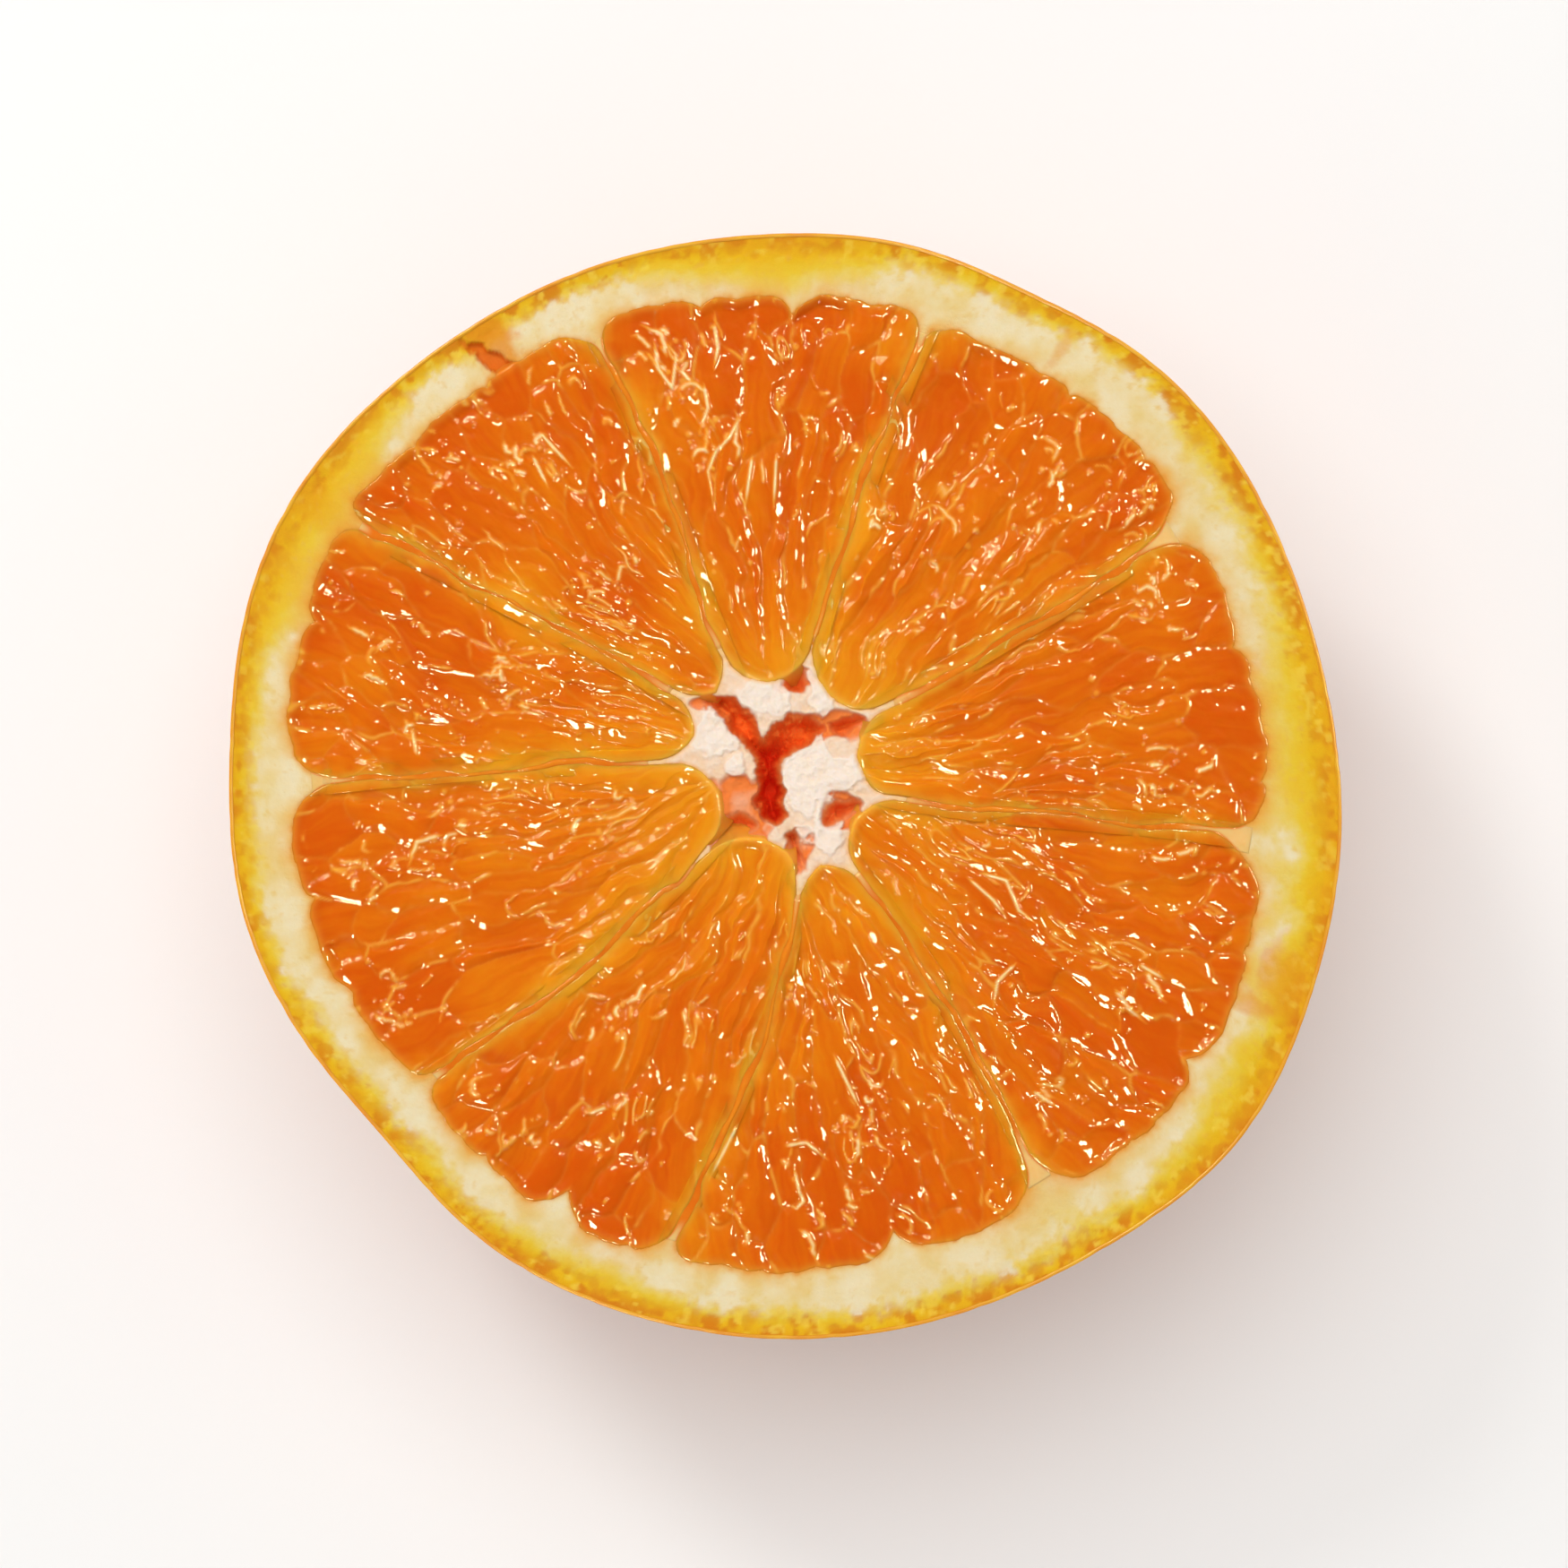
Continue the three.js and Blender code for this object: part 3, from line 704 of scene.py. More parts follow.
def rind_fields(x, y):
    """Height and colour of the cut rind."""
    place = Place(x, y)
    depth = skin_radius(place.bearing) - place.r
    share = depth / (RIND_THICKNESS * rind_share(place.bearing))
    soft = noise(32, 1.8, x, y, octaves=3)
    broad = noise(33, 6, x, y, octaves=2)
    fine = noise(34, 0.5, x, y, octaves=3)
    lower = np.exp(-((place.bearing - 275) / 50) ** 2) + np.exp(-((place.bearing - 40) / 35) ** 2)
    lower = lower + np.exp(-((place.bearing - 118) / 14) ** 2)
    blotch = smooth(noise(35, 1.0, x, y, octaves=3), -0.12, 0.3) * smooth(depth + 0.6 * soft, 2.1, 0.4)
    gland = blotch * np.clip(0.7 + 0.3 * lower, 0, 0.95)
    for bearing, gland_depth, radius, strength in zip(*glands()):
        gx, gy = on_bearing(skin_radius(bearing) - gland_depth, bearing)
        near = np.abs(x - gx) + np.abs(y - gy) < 3 * radius
        gap = np.hypot(x[near] - gx, y[near] - gy) / radius * (1 + 0.9 * fine[near])
        gland[near] = np.maximum(gland[near], 0.8 * strength * np.exp(-gap ** 4))
    tear = np.zeros_like(x)
    for bearing, inwards, length, width, deep, turn in TEARS:
        tx, ty = on_bearing(skin_radius(bearing) - inwards, bearing)
        along, sideways = turned(x - tx, y - ty, bearing + turn)
        ragged = 1 + 0.6 * noise(31, 0.7, x, y)
        gap = np.hypot(along / (length / 2), sideways / (width / 2)) * ragged
        tear = np.maximum(tear, deep * (1 - smooth(gap, 0.6, 1.15)))

    inland = smooth(depth, 0.15, 1.2)
    height = (0.06 * soft - 0.12) * inland + 0.03 * fine - 0.07 * gland * inland - tear - 0.04
    height = height - 0.5 * smooth(place.rimward, 0.8 * place.corner, 1.4 * place.corner)
    height = np.minimum(height, -0.01) - np.maximum(place.inside - 0.02, 0) * DIVE

    reach = around(YELLOW, place.bearing) * (1 + 0.5 * broad + 0.35 * soft) + 0.08 * fine
    stops = [
        (-0.02, colour(224, 140, 6)), (0.1, colour(229, 164, 8)), (0.5, colour(232, 182, 14)),
        (0.85, colour(232, 194, 48)), (1.2, colour(232, 202, 104)), (1.7, colour(233, 206, 142)),
    ]
    paint = ramp(share / np.maximum(reach, 0.08), stops)
    paint = blend(paint, colour(212, 116, 2), 0.9 * gland)
    # Light yellow spots near the skin: painted sparkle, standing in for highlights on a wet peel.
    painted_sparkle = smooth(noise(36, 0.6, x, y, octaves=2), 0.2, 0.6) * smooth(share, 0.6, 0.3)
    paint = blend(paint, colour(240, 206, 74), 0.65 * painted_sparkle * np.clip(0.55 + lower, 0, 1))
    cream = blend(colour(237, 221, 196), colour(229, 202, 142), np.clip(0.5 + 0.9 * soft + 0.5 * broad, 0, 1))
    paint = blend(paint, cream, 0.85 * smooth(share / np.maximum(reach, 0.08), 1.25, 2.0))
    paint = blend(paint, colour(226, 180, 96), 0.35 * smooth(fine, 0.25, 0.7) * smooth(share, 0.2, 0.5))
    outside = np.maximum(-place.inside + 0.2 * fine, 0)
    halo = np.exp(-outside / np.maximum(0.9 + 0.8 * soft, 0.2))
    paint = blend(paint, colour(235, 186, 88), 0.55 * halo)
    seep = np.exp(-outside / np.maximum(0.36 + 0.4 * broad + 0.3 * soft, 0.1))
    paint = blend(paint, colour(232, 142, 38), np.clip(0.85 * seep, 0, 0.95))
    dusk = np.clip(0.5 * fine + 0.1, 0, 0.5) * smooth(share, 0.75, 0.3)
    paint = blend(paint, paint * (1.0, 0.86, 0.55), dusk)
    for bearing, inwards, length, width, strength in STAINS:
        sx, sy = on_bearing(skin_radius(bearing) - inwards, bearing)
        along, sideways = turned(x - sx, y - sy, bearing)
        gap = np.hypot(along / (length / 2), sideways / (width / 2)) + 0.6 * soft + 0.2 * fine
        paint = blend(paint, colour(226, 140, 14), strength * smooth(gap, 1.1, 0.5))
    paint = paint * RIND_TONE
    return height, blend(paint, colour(214, 100, 6), 0.9 * smooth(tear, 0.02, 0.4))


def turned(x, y, bearing):
    """Coordinates along a bearing and to its left."""
    angle = np.radians(bearing)
    return x * np.cos(angle) + y * np.sin(angle), -x * np.sin(angle) + y * np.cos(angle)


def ramp(value, stops):
    """Colours blended between stops of (value, colour)."""
    places, colours = zip(*stops)
    return np.stack([np.interp(value, places, channel) for channel in zip(*colours)], -1)


def make_rind():
    bearing = np.arange(RING_STEPS) * 360 / RING_STEPS
    outer = skin_radius(bearing) - 0.6 * SKIN_EDGE
    visible = np.linspace(0, 1, SHOWN_RINGS)
    hidden = np.linspace(0, 1, HIDDEN_RINGS)[1:]
    inner = np.minimum(pulp_edge(bearing) - 0.3, outer - 2.5)
    radii = [mix(outer, inner, t) for t in visible] + [inner - WEDGE_REACH * t for t in hidden]
    rings, paints = [], []
    for radius in radii:
        x, y = on_bearing(radius, bearing)
        height, paint = rind_fields(x, y)
        rings.append(np.stack([x, y, np.maximum(height, -RING_DEPTH + 0.2)], 1))
        paints.append(paint)
    for radius in (radii[-1] + 0.01, outer - 1.5):
        x, y = on_bearing(radius, bearing)
        rings.append(np.stack([x, y, np.full_like(x, -RING_DEPTH)], 1))
        paints.append(paints[-1])
    total = len(rings)
    faces, corner_rings, corner_steps = strips(total, RING_STEPS, closed=True)
    far = [float(np.mean(radius)) for radius in radii]
    reach = list(0.49 * np.array(far) / far[0])
    reach += [reach[-1] - 0.01, reach[-1] - 0.06, reach[-1] - 0.08]
    uv = disc_uv(corner_rings, corner_steps, reach, RING_STEPS).reshape(-1, 2)
    make_piece("cut_rind", "pith", np.concatenate(rings), np.concatenate(paints), faces, uv)


# ------------------------------------------------------------------ the pulp: juice sacs

PULP_ROWS = 250
PULP_COLUMNS = 200
PULP_OVERLAP = 0.9
PULP_DEPTH = 3.0
PULP_LEVEL = -0.34
SAC_LENGTH = [(0, 5.0), (0.25, 9.0), (0.6, 8.0), (0.85, 5.2), (1, 4.2)]
SAC_BREADTH = [(0, 1.1), (0.25, 1.5), (0.6, 2.1), (1, 3.1)]
TRIES = 1500
STROKES = 40
BEADS = 40


class Sacs:
    """The juice sacs of one segment: long spindles that lie towards the core, rounder near the rind."""

    def __init__(self, segment):
        rng = np.random.default_rng(SEED * 100 + segment)
        first, second = SEPTA[segment], SEPTA[(segment + 1) % len(SEPTA)]
        outwards = np.sqrt(rng.uniform(0.02, 1.0, TRIES))
        bearing = septum_bearing(first, outwards)
        bearing += septum_bearing((second[:3] - first[:3]) % 360, outwards) * rng.uniform(0.01, 0.99, TRIES)
        x, y = on_bearing(mix(CORE_RADIUS * first[3], pulp_edge(bearing), outwards), bearing)
        heading = bearing + rng.uniform(-8, 8) + 18 * noise(41, 7, x, y)
        size = rng.uniform(0.72, 1.3, TRIES)
        length = np.interp(outwards, *zip(*SAC_LENGTH)) * size
        breadth = np.interp(outwards, *zip(*SAC_BREADTH)) * size * rng.uniform(0.8, 1.2, TRIES)
        kept = [0]
        for index in range(1, TRIES):
            along, sideways = turned(x[index] - x[kept], y[index] - y[kept], heading[kept])
            gap = np.hypot(along / (length[index] + length[kept]),
                           sideways / (breadth[index] + breadth[kept]))
            if 2 * gap.min() > 0.74:
                kept.append(index)
        self.x, self.y, self.heading = x[kept], y[kept], heading[kept]
        self.length, self.breadth = length[kept], breadth[kept]
        count = len(kept)
        opened = rng.uniform(size=count) < 0.16
        self.bulge = np.where(opened, rng.uniform(-0.3, -0.1, count), rng.uniform(0.05, 0.38, count))
        self.tone = rng.uniform(size=count)
        self.loop = rng.uniform(size=count) < 0.3
        self.clusters = [spot for spot in CLUSTERS if Place(*np.array(spot)[:, None]).segment[0] == segment]
        self.strokes = [self.stroke(rng) for _ in range(STROKES)]
        self.beads = [self.bead(rng) for _ in range(BEADS)]

    def anywhere(self, rng):
        index = rng.integers(len(self.x))
        angle = np.radians(self.heading[index])
        along = rng.uniform(-0.5, 0.5) * self.length[index]
        sideways = rng.uniform(-0.5, 0.5) * self.breadth[index]
        x = self.x[index] + along * np.cos(angle) - sideways * np.sin(angle)
        y = self.y[index] + along * np.sin(angle) + sideways * np.cos(angle)
        return x, y, self.heading[index]

    def clustered(self, rng, share):
        x, y, heading = self.anywhere(rng)
        gathered = rng.uniform() < share
        if gathered:
            cluster = self.clusters[rng.integers(len(self.clusters))]
            x, y = cluster[0] + rng.normal(0, 1.5), cluster[1] + rng.normal(0, 1.5)
        return x, y, heading, gathered

    def stroke(self, rng):
        """A shred of sac skin on the cut, painted pale partly as a highlight: a curved line, its half width,
        its height and its paleness.
        """
        x, y, heading, bold = self.clustered(rng, 0.5)
        length = rng.uniform(0.5, 1.9) if rng.uniform() < 0.82 else rng.uniform(2, 3.8)
        bend = rng.normal(0, 30 + 60 * bold) + (rng.choice([-150, 150]) if rng.uniform() < 0.2 else 0)
        heading += rng.normal(0, 20)
        steps = 8
        points = [(x, y)]
        for step in range(steps):
            turn = np.radians(heading + bend * step / steps + rng.normal(0, 17))
            x, y = x + length / steps * np.cos(turn), y + length / steps * np.sin(turn)
            points.append((x, y))
        half_width = rng.uniform(0.09, 0.13) + 0.05 * bold
        return np.array(points), half_width, rng.uniform(0.08, 0.24), rng.uniform(0.1, 0.7) + 0.3 * bold

    # A small raised bead painted pale as a highlight: place, radius, height and paleness.
    def bead(self, rng):
        x, y, *_ = self.clustered(rng, 0.6)
        return x, y, rng.uniform(0.1, 0.26), rng.uniform(0.06, 0.22), rng.uniform(0.1, 0.8)

    def nearest(self, x, y):
        """The nearest sac, how far its edge is, and the place along and across it."""
        along, sideways = turned(x[:, None] - self.x, y[:, None] - self.y, self.heading)
        reach = np.hypot(along / self.length, sideways / self.breadth) + 1e-6
        every = np.arange(len(x))
        order = np.argpartition(reach, 1, axis=1)[:, :2]
        swap = reach[every, order[:, 0]] > reach[every, order[:, 1]]
        order[swap] = order[swap][:, ::-1]
        slopes = []
        for index in order.T:
            along_slope = along[every, index] / self.length[index] ** 2 / reach[every, index]
            side_slope = sideways[every, index] / self.breadth[index] ** 2 / reach[every, index]
            angle = np.radians(self.heading[index])
            slopes.append((along_slope * np.cos(angle) - side_slope * np.sin(angle),
                           along_slope * np.sin(angle) + side_slope * np.cos(angle)))
        slope = np.hypot(slopes[1][0] - slopes[0][0], slopes[1][1] - slopes[0][1])
        edge = (reach[every, order[:, 1]] - reach[every, order[:, 0]]) / np.maximum(slope, 0.25)
        index = order[:, 0]
        return index, edge, along[every, index], sideways[every, index]


# Where torn sac skins and their painted highlights gather, in mm from the fruit's axis.
CLUSTERS = [
    (25.7, 12.0), (27.6, -0.6), (19.4, 20.2), (25.1, 17.7), (12.5, 16.5), (7.0, 15.5), (-5.2, 22.1),
    (-8.0, 28.5), (-16.4, 21.5), (-11.5, 12.5), (-23.5, 20.0), (-23.2, 3.8), (-19.1, 5.0), (-28.0, 8.5),
    (-23.5, -3.2),
    (-11.5, -4.4), (-29.0, -8.5), (-27.0, -17.0), (-18.5, -24.5), (-11.0, -17.0), (-9.5, -25.5), (5.6, -24.6),
    (-2.7, -30.9), (4.5, -32.0), (13.8, -4.4), (17.5, -22.5), (28.0, -6.5), (24.5, -16.0),
]
# The longest shreds of sac skin on the cut, also painted pale as highlights, in mm from the fruit's axis.
SHREDS_AND_HIGHLIGHTS = [
    [(0.9, -28.1), (1.3, -29.9), (1.6, -30.6), (1.1, -31.1), (0.6, -30.9)],
    [(0.3, -26.7), (1.8, -26.5), (3.3, -27.7)],
    [(-3.0, -25.2), (-5.1, -29.2)],
    [(3.7, -20.3), (4.9, -22.8), (5.6, -24.2)],
    [(14.0, -7.6), (15.8, -8.1), (16.7, -10.2), (18.0, -11.2)],
    [(13.1, -7.9), (14.9, -9.5), (15.9, -10.8)],
    [(16.5, -13.9), (15.2, -15.2), (14.9, -17.0)],
    [(17.7, -22.9), (19.4, -24.0)],
    [(25.1, -14.0), (27.1, -15.1)],
    [(-8.9, 29.8), (-8.6, 27.8), (-7.6, 26.4), (-7.3, 28.7), (-8.5, 30.1)],
    [(-4.7, 31.1), (-4.4, 29.2), (-4.7, 27.7)],
    [(-5.4, 26.7), (-5.1, 25.0), (-5.7, 23.3)],
    [(-2.7, 24.7), (-3.6, 22.9), (-4.5, 22.0), (-5.1, 20.6), (-4.7, 18.0)],
    [(-2.0, 21.7), (-2.5, 18.0)],
    [(-0.3, 21.7), (-0.5, 18.0)],
    [(-16.9, 23.3), (-14.6, 20.8)],
    [(-17.4, 21.7), (-16.3, 19.4)],
]


def line_gap(x, y, points):
    """Distance to a line of points, and the place along it from 0 to 1."""
    best, where = np.full_like(x, 1e9), np.zeros_like(x)
    count = len(points) - 1
    for step in range(count):
        (ax, ay), (bx, by) = points[step], points[step + 1]
        dx, dy = bx - ax, by - ay
        t = np.clip(((x - ax) * dx + (y - ay) * dy) / (dx * dx + dy * dy), 0, 1)
        gap = np.hypot(x - ax - t * dx, y - ay - t * dy)
        closer = gap < best
        best, where = np.where(closer, gap, best), np.where(closer, (step + t) / count, where)
    return best, where


def pulp_fields(place, sacs):
    """Height and colour of the pulp."""
    x, y = place.x, place.y
    warp_x = x + 0.5 * noise(51, 2.8, x, y) + 0.14 * noise(52, 0.9, x, y)
    warp_y = y + 0.5 * noise(53, 2.8, x, y) + 0.14 * noise(54, 0.9, x, y)
    index, edge, along, sideways = sacs.nearest(warp_x, warp_y)
    bulge, tone = sacs.bulge[index], sacs.tone[index]
    pillow = 1 - np.exp(-np.maximum(edge, 0) / 0.45)
    busy = noise(50, 5, x, y, octaves=2)
    ragged = smooth(noise(55, 1.6, x, y, octaves=3), 0.05, 0.5)
    skin = np.exp(-(edge / 0.13) ** 2)
    fibre = noise(56, 1.0, sideways / 0.3 + 37 * tone, along / 3.2, octaves=2)
    broad = noise(57, 6, x, y, octaves=2)
    within = np.hypot(along / sacs.length[index], sideways / sacs.breadth[index]) * 2
    loop = sacs.loop[index] * np.exp(-((within - 0.45 - 0.1 * fibre) / 0.1) ** 2) * ragged
    height = PULP_LEVEL + bulge * pillow + 0.14 * skin * ragged + 0.16 * loop
    height += 0.035 * fibre * pillow * (1 - 0.6 * smooth(place.outwards, 0.6, 1.0))
    height += 0.15 * broad + (0.05 + 0.04 * busy) * noise(58, 0.9, x, y, octaves=2)
    # pale marks the loops, shreds and beads: partly the pale skin of torn sacs, partly painted highlight.
    pale = 0.6 * loop
    shreds_and_highlights = [(np.array(line), 0.13, 0.24, 1.0) for line in SHREDS_AND_HIGHLIGHTS]
    for points, half_width, tall, strength in sacs.strokes + shreds_and_highlights:
        near = np.abs(x - points[:, 0].mean()) + np.abs(y - points[:, 1].mean()) < 7
        gap, where = line_gap(x[near], y[near], points)
        taper = smooth(where, 0, 0.15) * smooth(where, 1, 0.6)
        shape = np.exp(-(gap / (half_width * (0.6 + 0.4 * taper))) ** 2) * (0.25 + 0.75 * taper)
        height[near] += tall * shape
        pale[near] = np.maximum(pale[near], strength * shape)
    for bead_x, bead_y, radius, tall, strength in sacs.beads:
        near = np.abs(x - bead_x) + np.abs(y - bead_y) < 3 * radius
        shape = np.exp(-(np.hypot(x[near] - bead_x, y[near] - bead_y) / radius) ** 4)
        height[near] += tall * shape
        pale[near] = np.maximum(pale[near], 0.6 * strength * shape)

    inside = place.inside
    height = mix(PULP_LEVEL + 0.22, height, smooth(inside, 0.0, 0.9))
    height = np.minimum(height, 0.3) - np.maximum(-inside - 0.02, 0) * DIVE

    depth = 0.4 + 0.3 * (tone - 0.5) + 0.3 * broad - 0.28 * smooth(place.outwards, 0.3, 1.0)
    depth += 0.32 * smooth(place.outwards, 0.35, 0.0) + 0.2 * fibre
    depth += (0.35 + 0.5 * busy) * np.exp(-np.maximum(place.wall, 0) / (1.2 + 0.8 * broad))
    deep, middle, light = colour(216, 92, 8), colour(226, 120, 12), colour(233, 150, 22)
    paint = ramp(np.clip(depth, 0, 1), [(0, deep), (0.5, middle), (1, light)])
    paint = blend(paint, colour(237, 168, 62), np.clip(skin * (0.12 + 0.65 * ragged), 0, 0.8))
    patchy = smooth(noise(59, 2.4, x, y, octaves=3), -0.2, 0.3)
    fuzz = np.exp(-np.maximum(place.wall, 0) / 0.8) * patchy
    paint = blend(paint, colour(238, 154, 28), 0.7 * fuzz)
    # Pale, up to near white, on the loops, shreds and beads: partly the sac skins' own colour, partly painted
    # highlight.
    paint = blend(paint, colour(241, 166, 56), 0.75 * smooth(pale, 0.0, 0.45))
    paint = blend(paint, colour(250, 222, 168), 0.9 * smooth(pale, 0.4, 1.0))
    # A yellow band along the pulp's edge, stronger at the core end: partly the translucent rim's own colour,
    # partly a painted soft highlight.
    edge_tint_and_highlight = np.exp(-(np.maximum(inside, 0) / 0.35) ** 2)
    heart = smooth(place.outwards, 0.12, 0.02)
    return height, blend(paint, colour(244, 172, 62), np.clip((0.35 + 0.5 * heart) * edge_tint_and_highlight, 0, 1))


def make_pulp(segment):
    first, second = SEPTA[segment], SEPTA[(segment + 1) % len(SEPTA)]
    outwards, across = grid_of(np.linspace(0, 1, PULP_ROWS), np.linspace(0, 1, PULP_COLUMNS))
    span = septum_bearing((second[:3] - first[:3]) % 360, outwards)
    bearing = septum_bearing(first, outwards) + span * across
    radius = mix(CORE_RADIUS * first[3] - 0.5, pulp_edge(bearing) + 0.5, outwards)
    bearing = bearing + (2 * across - 1) * np.degrees(PULP_OVERLAP / radius)
    x, y = (a.ravel() for a in on_bearing(radius, bearing))
    height, paint = pulp_fields(Place(x, y), Sacs(segment))
    height = np.maximum(height, 0.3 - PULP_DEPTH)
    make_sheet(f"pulp_{segment + 1}", "pulp", outwards.shape, x, y, height, paint, -PULP_DEPTH)


# ------------------------------------------------------------------ membranes and core

MEMBRANE_HALF_WIDTH = 0.9
MEMBRANE_LEVEL = -0.13
MEMBRANE_ENDS = (0.1, 0.955)     # from the core to the rind
MEMBRANE_DEPTH = 2.2
MEMBRANE_ROWS = 240
MEMBRANE_COLUMNS = 27


def membrane_fields(x, y, sideways):
    place = Place(x, y)
    wavy = noise(61, 1.1, x, y, octaves=2)
    crest = np.exp(-(sideways / 0.2) ** 2) * smooth(noise(62, 3, x, y), -0.2, 0.5)
    height = MEMBRANE_LEVEL + 0.1 * crest * (0.6 + 0.6 * wavy) + 0.05 * wavy
    height -= 0.35 * smooth(place.r, 9.6, 8.8) + np.maximum(place.inside - 0.02, 0) * DIVE
    amber, pale, cream = colour(237, 113, 12), colour(241, 137, 26), colour(240, 196, 124)
    paint = blend(amber, pale, np.clip(0.15 + 0.5 * wavy + 0.5 * crest, 0, 1))
    white = smooth(place.r, 12.5, 8.0) + smooth(place.rimward, 1.5 * place.corner, 0.8 * place.corner)
    return height, blend(paint, cream, np.clip(0.9 * white * smooth(place.inside, 0.0, -0.2), 0, 1))


def make_membrane(number):
    septum = SEPTA[number]
    outwards, sideways = grid_of(np.linspace(*MEMBRANE_ENDS, MEMBRANE_ROWS),
                                 np.linspace(-1, 1, MEMBRANE_COLUMNS))
    sideways = sideways * MEMBRANE_HALF_WIDTH
    bearing = septum_bearing(septum, outwards)
    radius = CORE_RADIUS + outwards * (pulp_edge(bearing) - CORE_RADIUS)
    straight = bearing
    for _ in range(2):
        bearing = straight - waver(*on_bearing(radius, bearing), radius)
    bearing = bearing + np.degrees(sideways / radius)
    x, y = (a.ravel() for a in on_bearing(radius, bearing))
    height, paint = membrane_fields(x, y, sideways.ravel())
    height = np.maximum(height, 0.4 - MEMBRANE_DEPTH)
    make_sheet(f"membrane_{number + 1}", "membrane", outwards.shape, x, y, height, paint, -MEMBRANE_DEPTH)


# Lumps of white pith in the core, and its rosy, translucent slopes: place and two radii, in mm.
CORE_LUMPS = [
    (-1.0, 5.0, 2.2, 1.3), (-4.4, 2.2, 1.5, 1.9), (-3.1, 0.0, 0.9, 0.9), (1.9, -1.0, 1.8, 3.4),
    (4.4, -0.7, 1.5, 1.2), (3.5, -5.0, 1.0, 1.6), (2.9, 5.2, 0.9, 2.0), (3.0, -3.6, 0.9, 1.4),
]
CORE_SLOPES = [
    (-2.9, -3.4, 2.3, 3.2), (3.8, 2.8, 2.6, 1.1), (0.9, 5.9, 1.3, 0.9), (4.3, -3.2, 1.6, 1.5),
    (1.2, -6.0, 1.1, 1.6), (-5.0, 4.4, 1.4, 0.6),
]
CORE_REACH = 9.7
CORE_STEPS = 420
CORE_RINGS = 120


def closed_curve(corners, count):
    """Smooth closed outline through corners, in millimetres."""
    corners = np.array(corners) * CORE_RADIUS
    turn = np.arange(count) * 360 / count
    return np.stack([around(corners[:, 0], turn), around(corners[:, 1], turn)], 1)


def inside_outline(x, y, outline):
    """How far inside a closed outline each point is, negative outside."""
    gap, _ = line_gap(x, y, np.concatenate([outline, outline[:1]]))
    within = np.zeros(len(x), bool)
    following = np.roll(outline, -1, axis=0)
    for (ax, ay), (bx, by) in zip(outline, following):
        crosses = (ay > y) != (by > y)
        within ^= crosses & (x < (bx - ax) * (y - ay) / (by - ay + 1e-12) + ax)
    return np.where(within, gap, -gap)


def core_spots(x, y, spots, ragged):
    """How much of a place belongs to ragged oval spots, from 0 to 1."""
    return np.max([
        smooth(np.hypot((x - sx) / wide, (y - sy) / tall) + 0.45 * ragged, 1.1, 0.85)
        for sx, sy, wide, tall in spots
    ], axis=0)


def core_fields(x, y):
    """Height and colour of the core's white pith and of the hollows in it."""
    place = Place(x, y)
    lumps = noise(71, 1.3, x, y, octaves=2)
    crumb = noise(72, 0.5, x, y, octaves=3)
    jag = 0.42 * noise(73, 0.9, x, y, octaves=3)
    split = inside_outline(x, y, closed_curve(CORE_SPLIT, 90)) + jag
    pocket = np.max([inside_outline(x, y, closed_curve(c, 30)) for c in CORE_POCKETS], axis=0) + 0.6 * jag
    arms = smooth(y, 0.2, 2.2)
    sunk = CORE_HOLLOW_DEPTH * smooth(split + 0.25 * arms, -0.1, 1.0) * (1 - 0.5 * arms)
    sunk = np.maximum(sunk, CORE_POCKET_DEPTH * smooth(pocket, -0.2, 0.8))
    white = core_spots(x, y, CORE_LUMPS, lumps + 0.7 * crumb)
    slope = core_spots(x, y, CORE_SLOPES, lumps) * (1 - 0.8 * white)
    height = -0.22 + 0.2 * white + 0.16 * lumps * white + 0.14 * crumb - 0.5 * slope - sunk
    height -= 0.1 * smooth(place.inside, -0.5, 0) + np.maximum(place.inside - 0.02, 0) * DIVE * 1.3
    height += 0.25 * crumb * smooth(sunk, 0.2, 1.5) * smooth(sunk, CORE_HOLLOW_DEPTH, CORE_HOLLOW_DEPTH - 1)

    pith = blend(colour(234, 198, 164), colour(238, 222, 208), np.clip(0.3 + 0.7 * white + 0.4 * crumb, 0, 1))
    paint = blend(pith, colour(233, 126, 56), np.clip(0.95 * slope * (1 + 0.5 * lumps), 0, 1))
    # Redder deeper into the hollow, as the real hollow is, but painted brighter than its real red towards the
    # deep floor: painted light where the lamps don't reach.
    red = ramp(sunk, [
        (0.0, colour(237, 184, 144)), (0.5, colour(237, 152, 92)), (1.3, colour(238, 124, 58)),
        (2.4, colour(242, 104, 40)), (3.6, colour(242, 80, 30)), (CORE_HOLLOW_DEPTH, colour(246, 66, 28)),
    ])
    red = blend(red, colour(236, 108, 30), 0.6 * arms)
    paint = blend(paint, red, smooth(sunk, 0.02, 0.5))
    open_edge = smooth(place.inside, -0.4, 0.0) * smooth(sunk, 1.0, 0.3)
    paint = blend(paint, colour(236, 178, 88), 0.75 * open_edge)
    tips = smooth(place.r, 7.4, 9.6)
    return height, blend(paint, colour(237, 200, 132), 0.7 * tips * smooth(sunk, 1.0, 0.3))


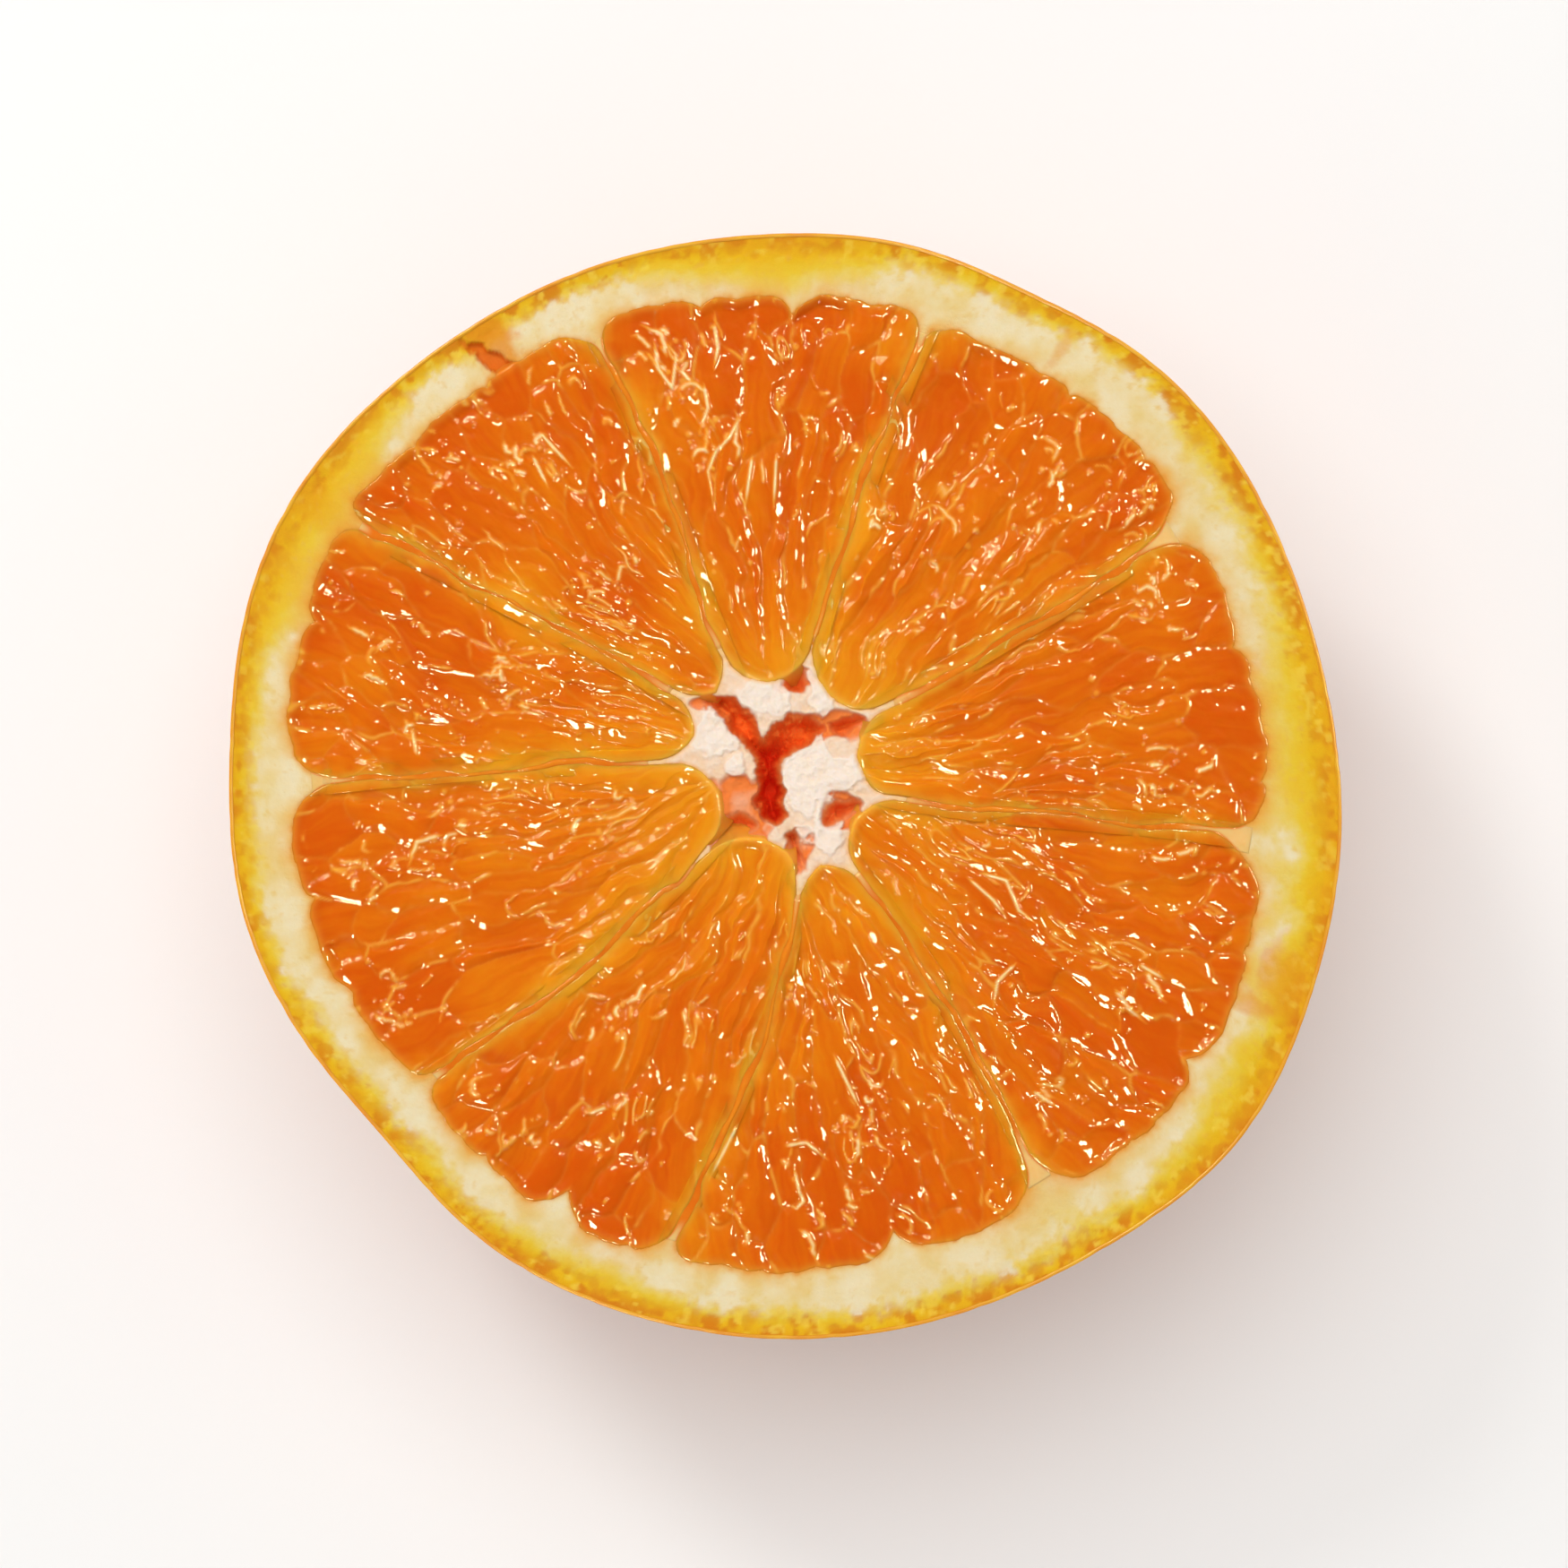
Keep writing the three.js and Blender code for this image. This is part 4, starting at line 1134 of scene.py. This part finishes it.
def make_core():
    bearing = np.arange(CORE_STEPS) * 360 / CORE_STEPS
    radii = np.linspace(0.05, CORE_REACH, CORE_RINGS)
    rings, paints = [], []
    for radius in radii:
        x, y = on_bearing(radius, bearing)
        height, paint = core_fields(x, y)
        rings.append(np.stack([x, y, np.maximum(height, -CORE_HOLLOW_DEPTH - 0.8)], 1))
        paints.append(paint)
    bottom = rings[-1].copy()
    bottom[:, 2] = -CORE_HOLLOW_DEPTH - 1.6
    rings.append(bottom)
    paints.append(paints[-1])
    total = len(rings)
    faces, corner_rings, corner_steps = strips(total, CORE_STEPS)
    reach = np.append(radii / CORE_REACH * 0.44, 0.47)
    middle = np.arange(CORE_STEPS)
    under = np.arange((total - 1) * CORE_STEPS, total * CORE_STEPS)[::-1]
    uv = np.concatenate([
        disc_uv(corner_rings, corner_steps, reach, CORE_STEPS).reshape(-1, 2),
        disc_uv(np.zeros(CORE_STEPS, int), middle, [reach[0]], CORE_STEPS),
        disc_uv(np.zeros(CORE_STEPS, int), middle[::-1], [0.04], CORE_STEPS, (0.06, 0.06)),
    ])
    make_piece("core", "pith", np.concatenate(rings), np.concatenate(paints), faces, uv, [middle, under])


# ------------------------------------------------------------------ stage, lights and camera

FLOOR_GAP = 0.05 * MM     # keeps the floor clear of the peel's flat ring
FLOOR_HALF = 4.0          # half the floor's width, in metres


def make_stage():
    mesh = bpy.data.meshes.new("floor")
    corners = [(-1, -1), (1, -1), (1, 1), (-1, 1)]
    level = low.z - FLOOR_GAP
    mesh.from_pydata([(x * FLOOR_HALF, y * FLOOR_HALF, level) for x, y in corners], [], [(0, 1, 2, 3)])
    floor = bpy.data.objects.new("floor", mesh)
    bpy.context.scene.collection.objects.link(floor)
    material = bpy.data.materials.new("floor")
    material.use_nodes = True
    shader = material.node_tree.nodes["Principled BSDF"]
    shader.inputs["Base Color"].default_value = (0.86, 0.86, 0.86, 1)
    shader.inputs["Roughness"].default_value = 0.8
    mesh.materials.append(material)


def make_lamp(name, bearing, elevation, distance, size, watts, diffuse=True, glossy=True, tint=(1, 1, 1)):
    """A round lamp aimed at the cut face, which the camera doesn't see."""
    target = Vector((0, 0, high.z))
    angle, tilt = math.radians(bearing), math.radians(elevation)
    towards = Vector((math.cos(angle) * math.cos(tilt), math.sin(angle) * math.cos(tilt), math.sin(tilt)))
    light = bpy.data.lights.new(name, "AREA")
    light.shape = "DISK"
    light.size = size
    light.energy = watts
    light.color = tint
    lamp = bpy.data.objects.new(name, light)
    lamp.location = target + towards * distance
    lamp.rotation_euler = (-towards).to_track_quat("-Z", "Y").to_euler()
    lamp.visible_diffuse = diffuse
    lamp.visible_glossy = glossy
    lamp.visible_camera = False
    bpy.context.scene.collection.objects.link(lamp)


GLINT = (0.94, 0.92, 0.52)
WORLD_STRENGTH = 0.44


def make_light():
    make_lamp("fill", 110, 74, 1.1, 0.9, 7.6, glossy=False)
    make_lamp("key", 128, 48, 0.6, 0.12, 0.7, glossy=False)
    make_lamp("low_left", 205, -3, 0.6, 0.2, 1.3)
    make_lamp("low_right", 25, -3, 0.6, 0.2, 1.0)
    make_lamp("low_front", 290, -3, 0.6, 0.2, 0.8)
    make_lamp("glint_left", 128, 48, 0.6, 0.15, 3.2, diffuse=False, tint=GLINT)
    make_lamp("glint_right", 12, 52, 0.6, 0.14, 2.8, diffuse=False, tint=GLINT)
    make_lamp("glint_front", 248, 48, 0.6, 0.14, 2.8, diffuse=False, tint=GLINT)
    make_lamp("glint_high", 75, 66, 0.6, 0.06, 0.7, diffuse=False, tint=GLINT)
    world = bpy.data.worlds.new("studio")
    world.use_nodes = True
    background = world.node_tree.nodes["Background"]
    background.inputs["Color"].default_value = (1, 1, 1, 1)
    background.inputs["Strength"].default_value = WORLD_STRENGTH
    bpy.context.scene.world = world
    world.cycles_visibility.glossy = False
    bpy.context.scene.view_settings.view_transform = "Standard"


LENS = 120.0
SENSOR = 36.0
FRAME_WIDTH = 0.1099     # what the picture spans at the cut face
CAMERA_SHIFT = (-0.1 * MM, 0.16 * MM)


def make_camera():
    camera = bpy.data.cameras.new("camera")
    camera.lens = LENS
    camera.sensor_width = SENSOR
    camera.clip_start = 0.01
    rig = bpy.data.objects.new("camera", camera)
    rig.location = (
        (low.x + high.x) / 2 + CAMERA_SHIFT[0],
        (low.y + high.y) / 2 + CAMERA_SHIFT[1],
        high.z + FRAME_WIDTH * LENS / SENSOR,
    )
    bpy.context.scene.collection.objects.link(rig)
    bpy.context.scene.camera = rig


make_camera()
make_stage()
make_light()
make_peel()
make_calyx()
make_rind()
for septum_number in range(len(SEPTA)):
    make_membrane(septum_number)
make_core()
for segment_number in range(len(SEPTA)):
    make_pulp(segment_number)
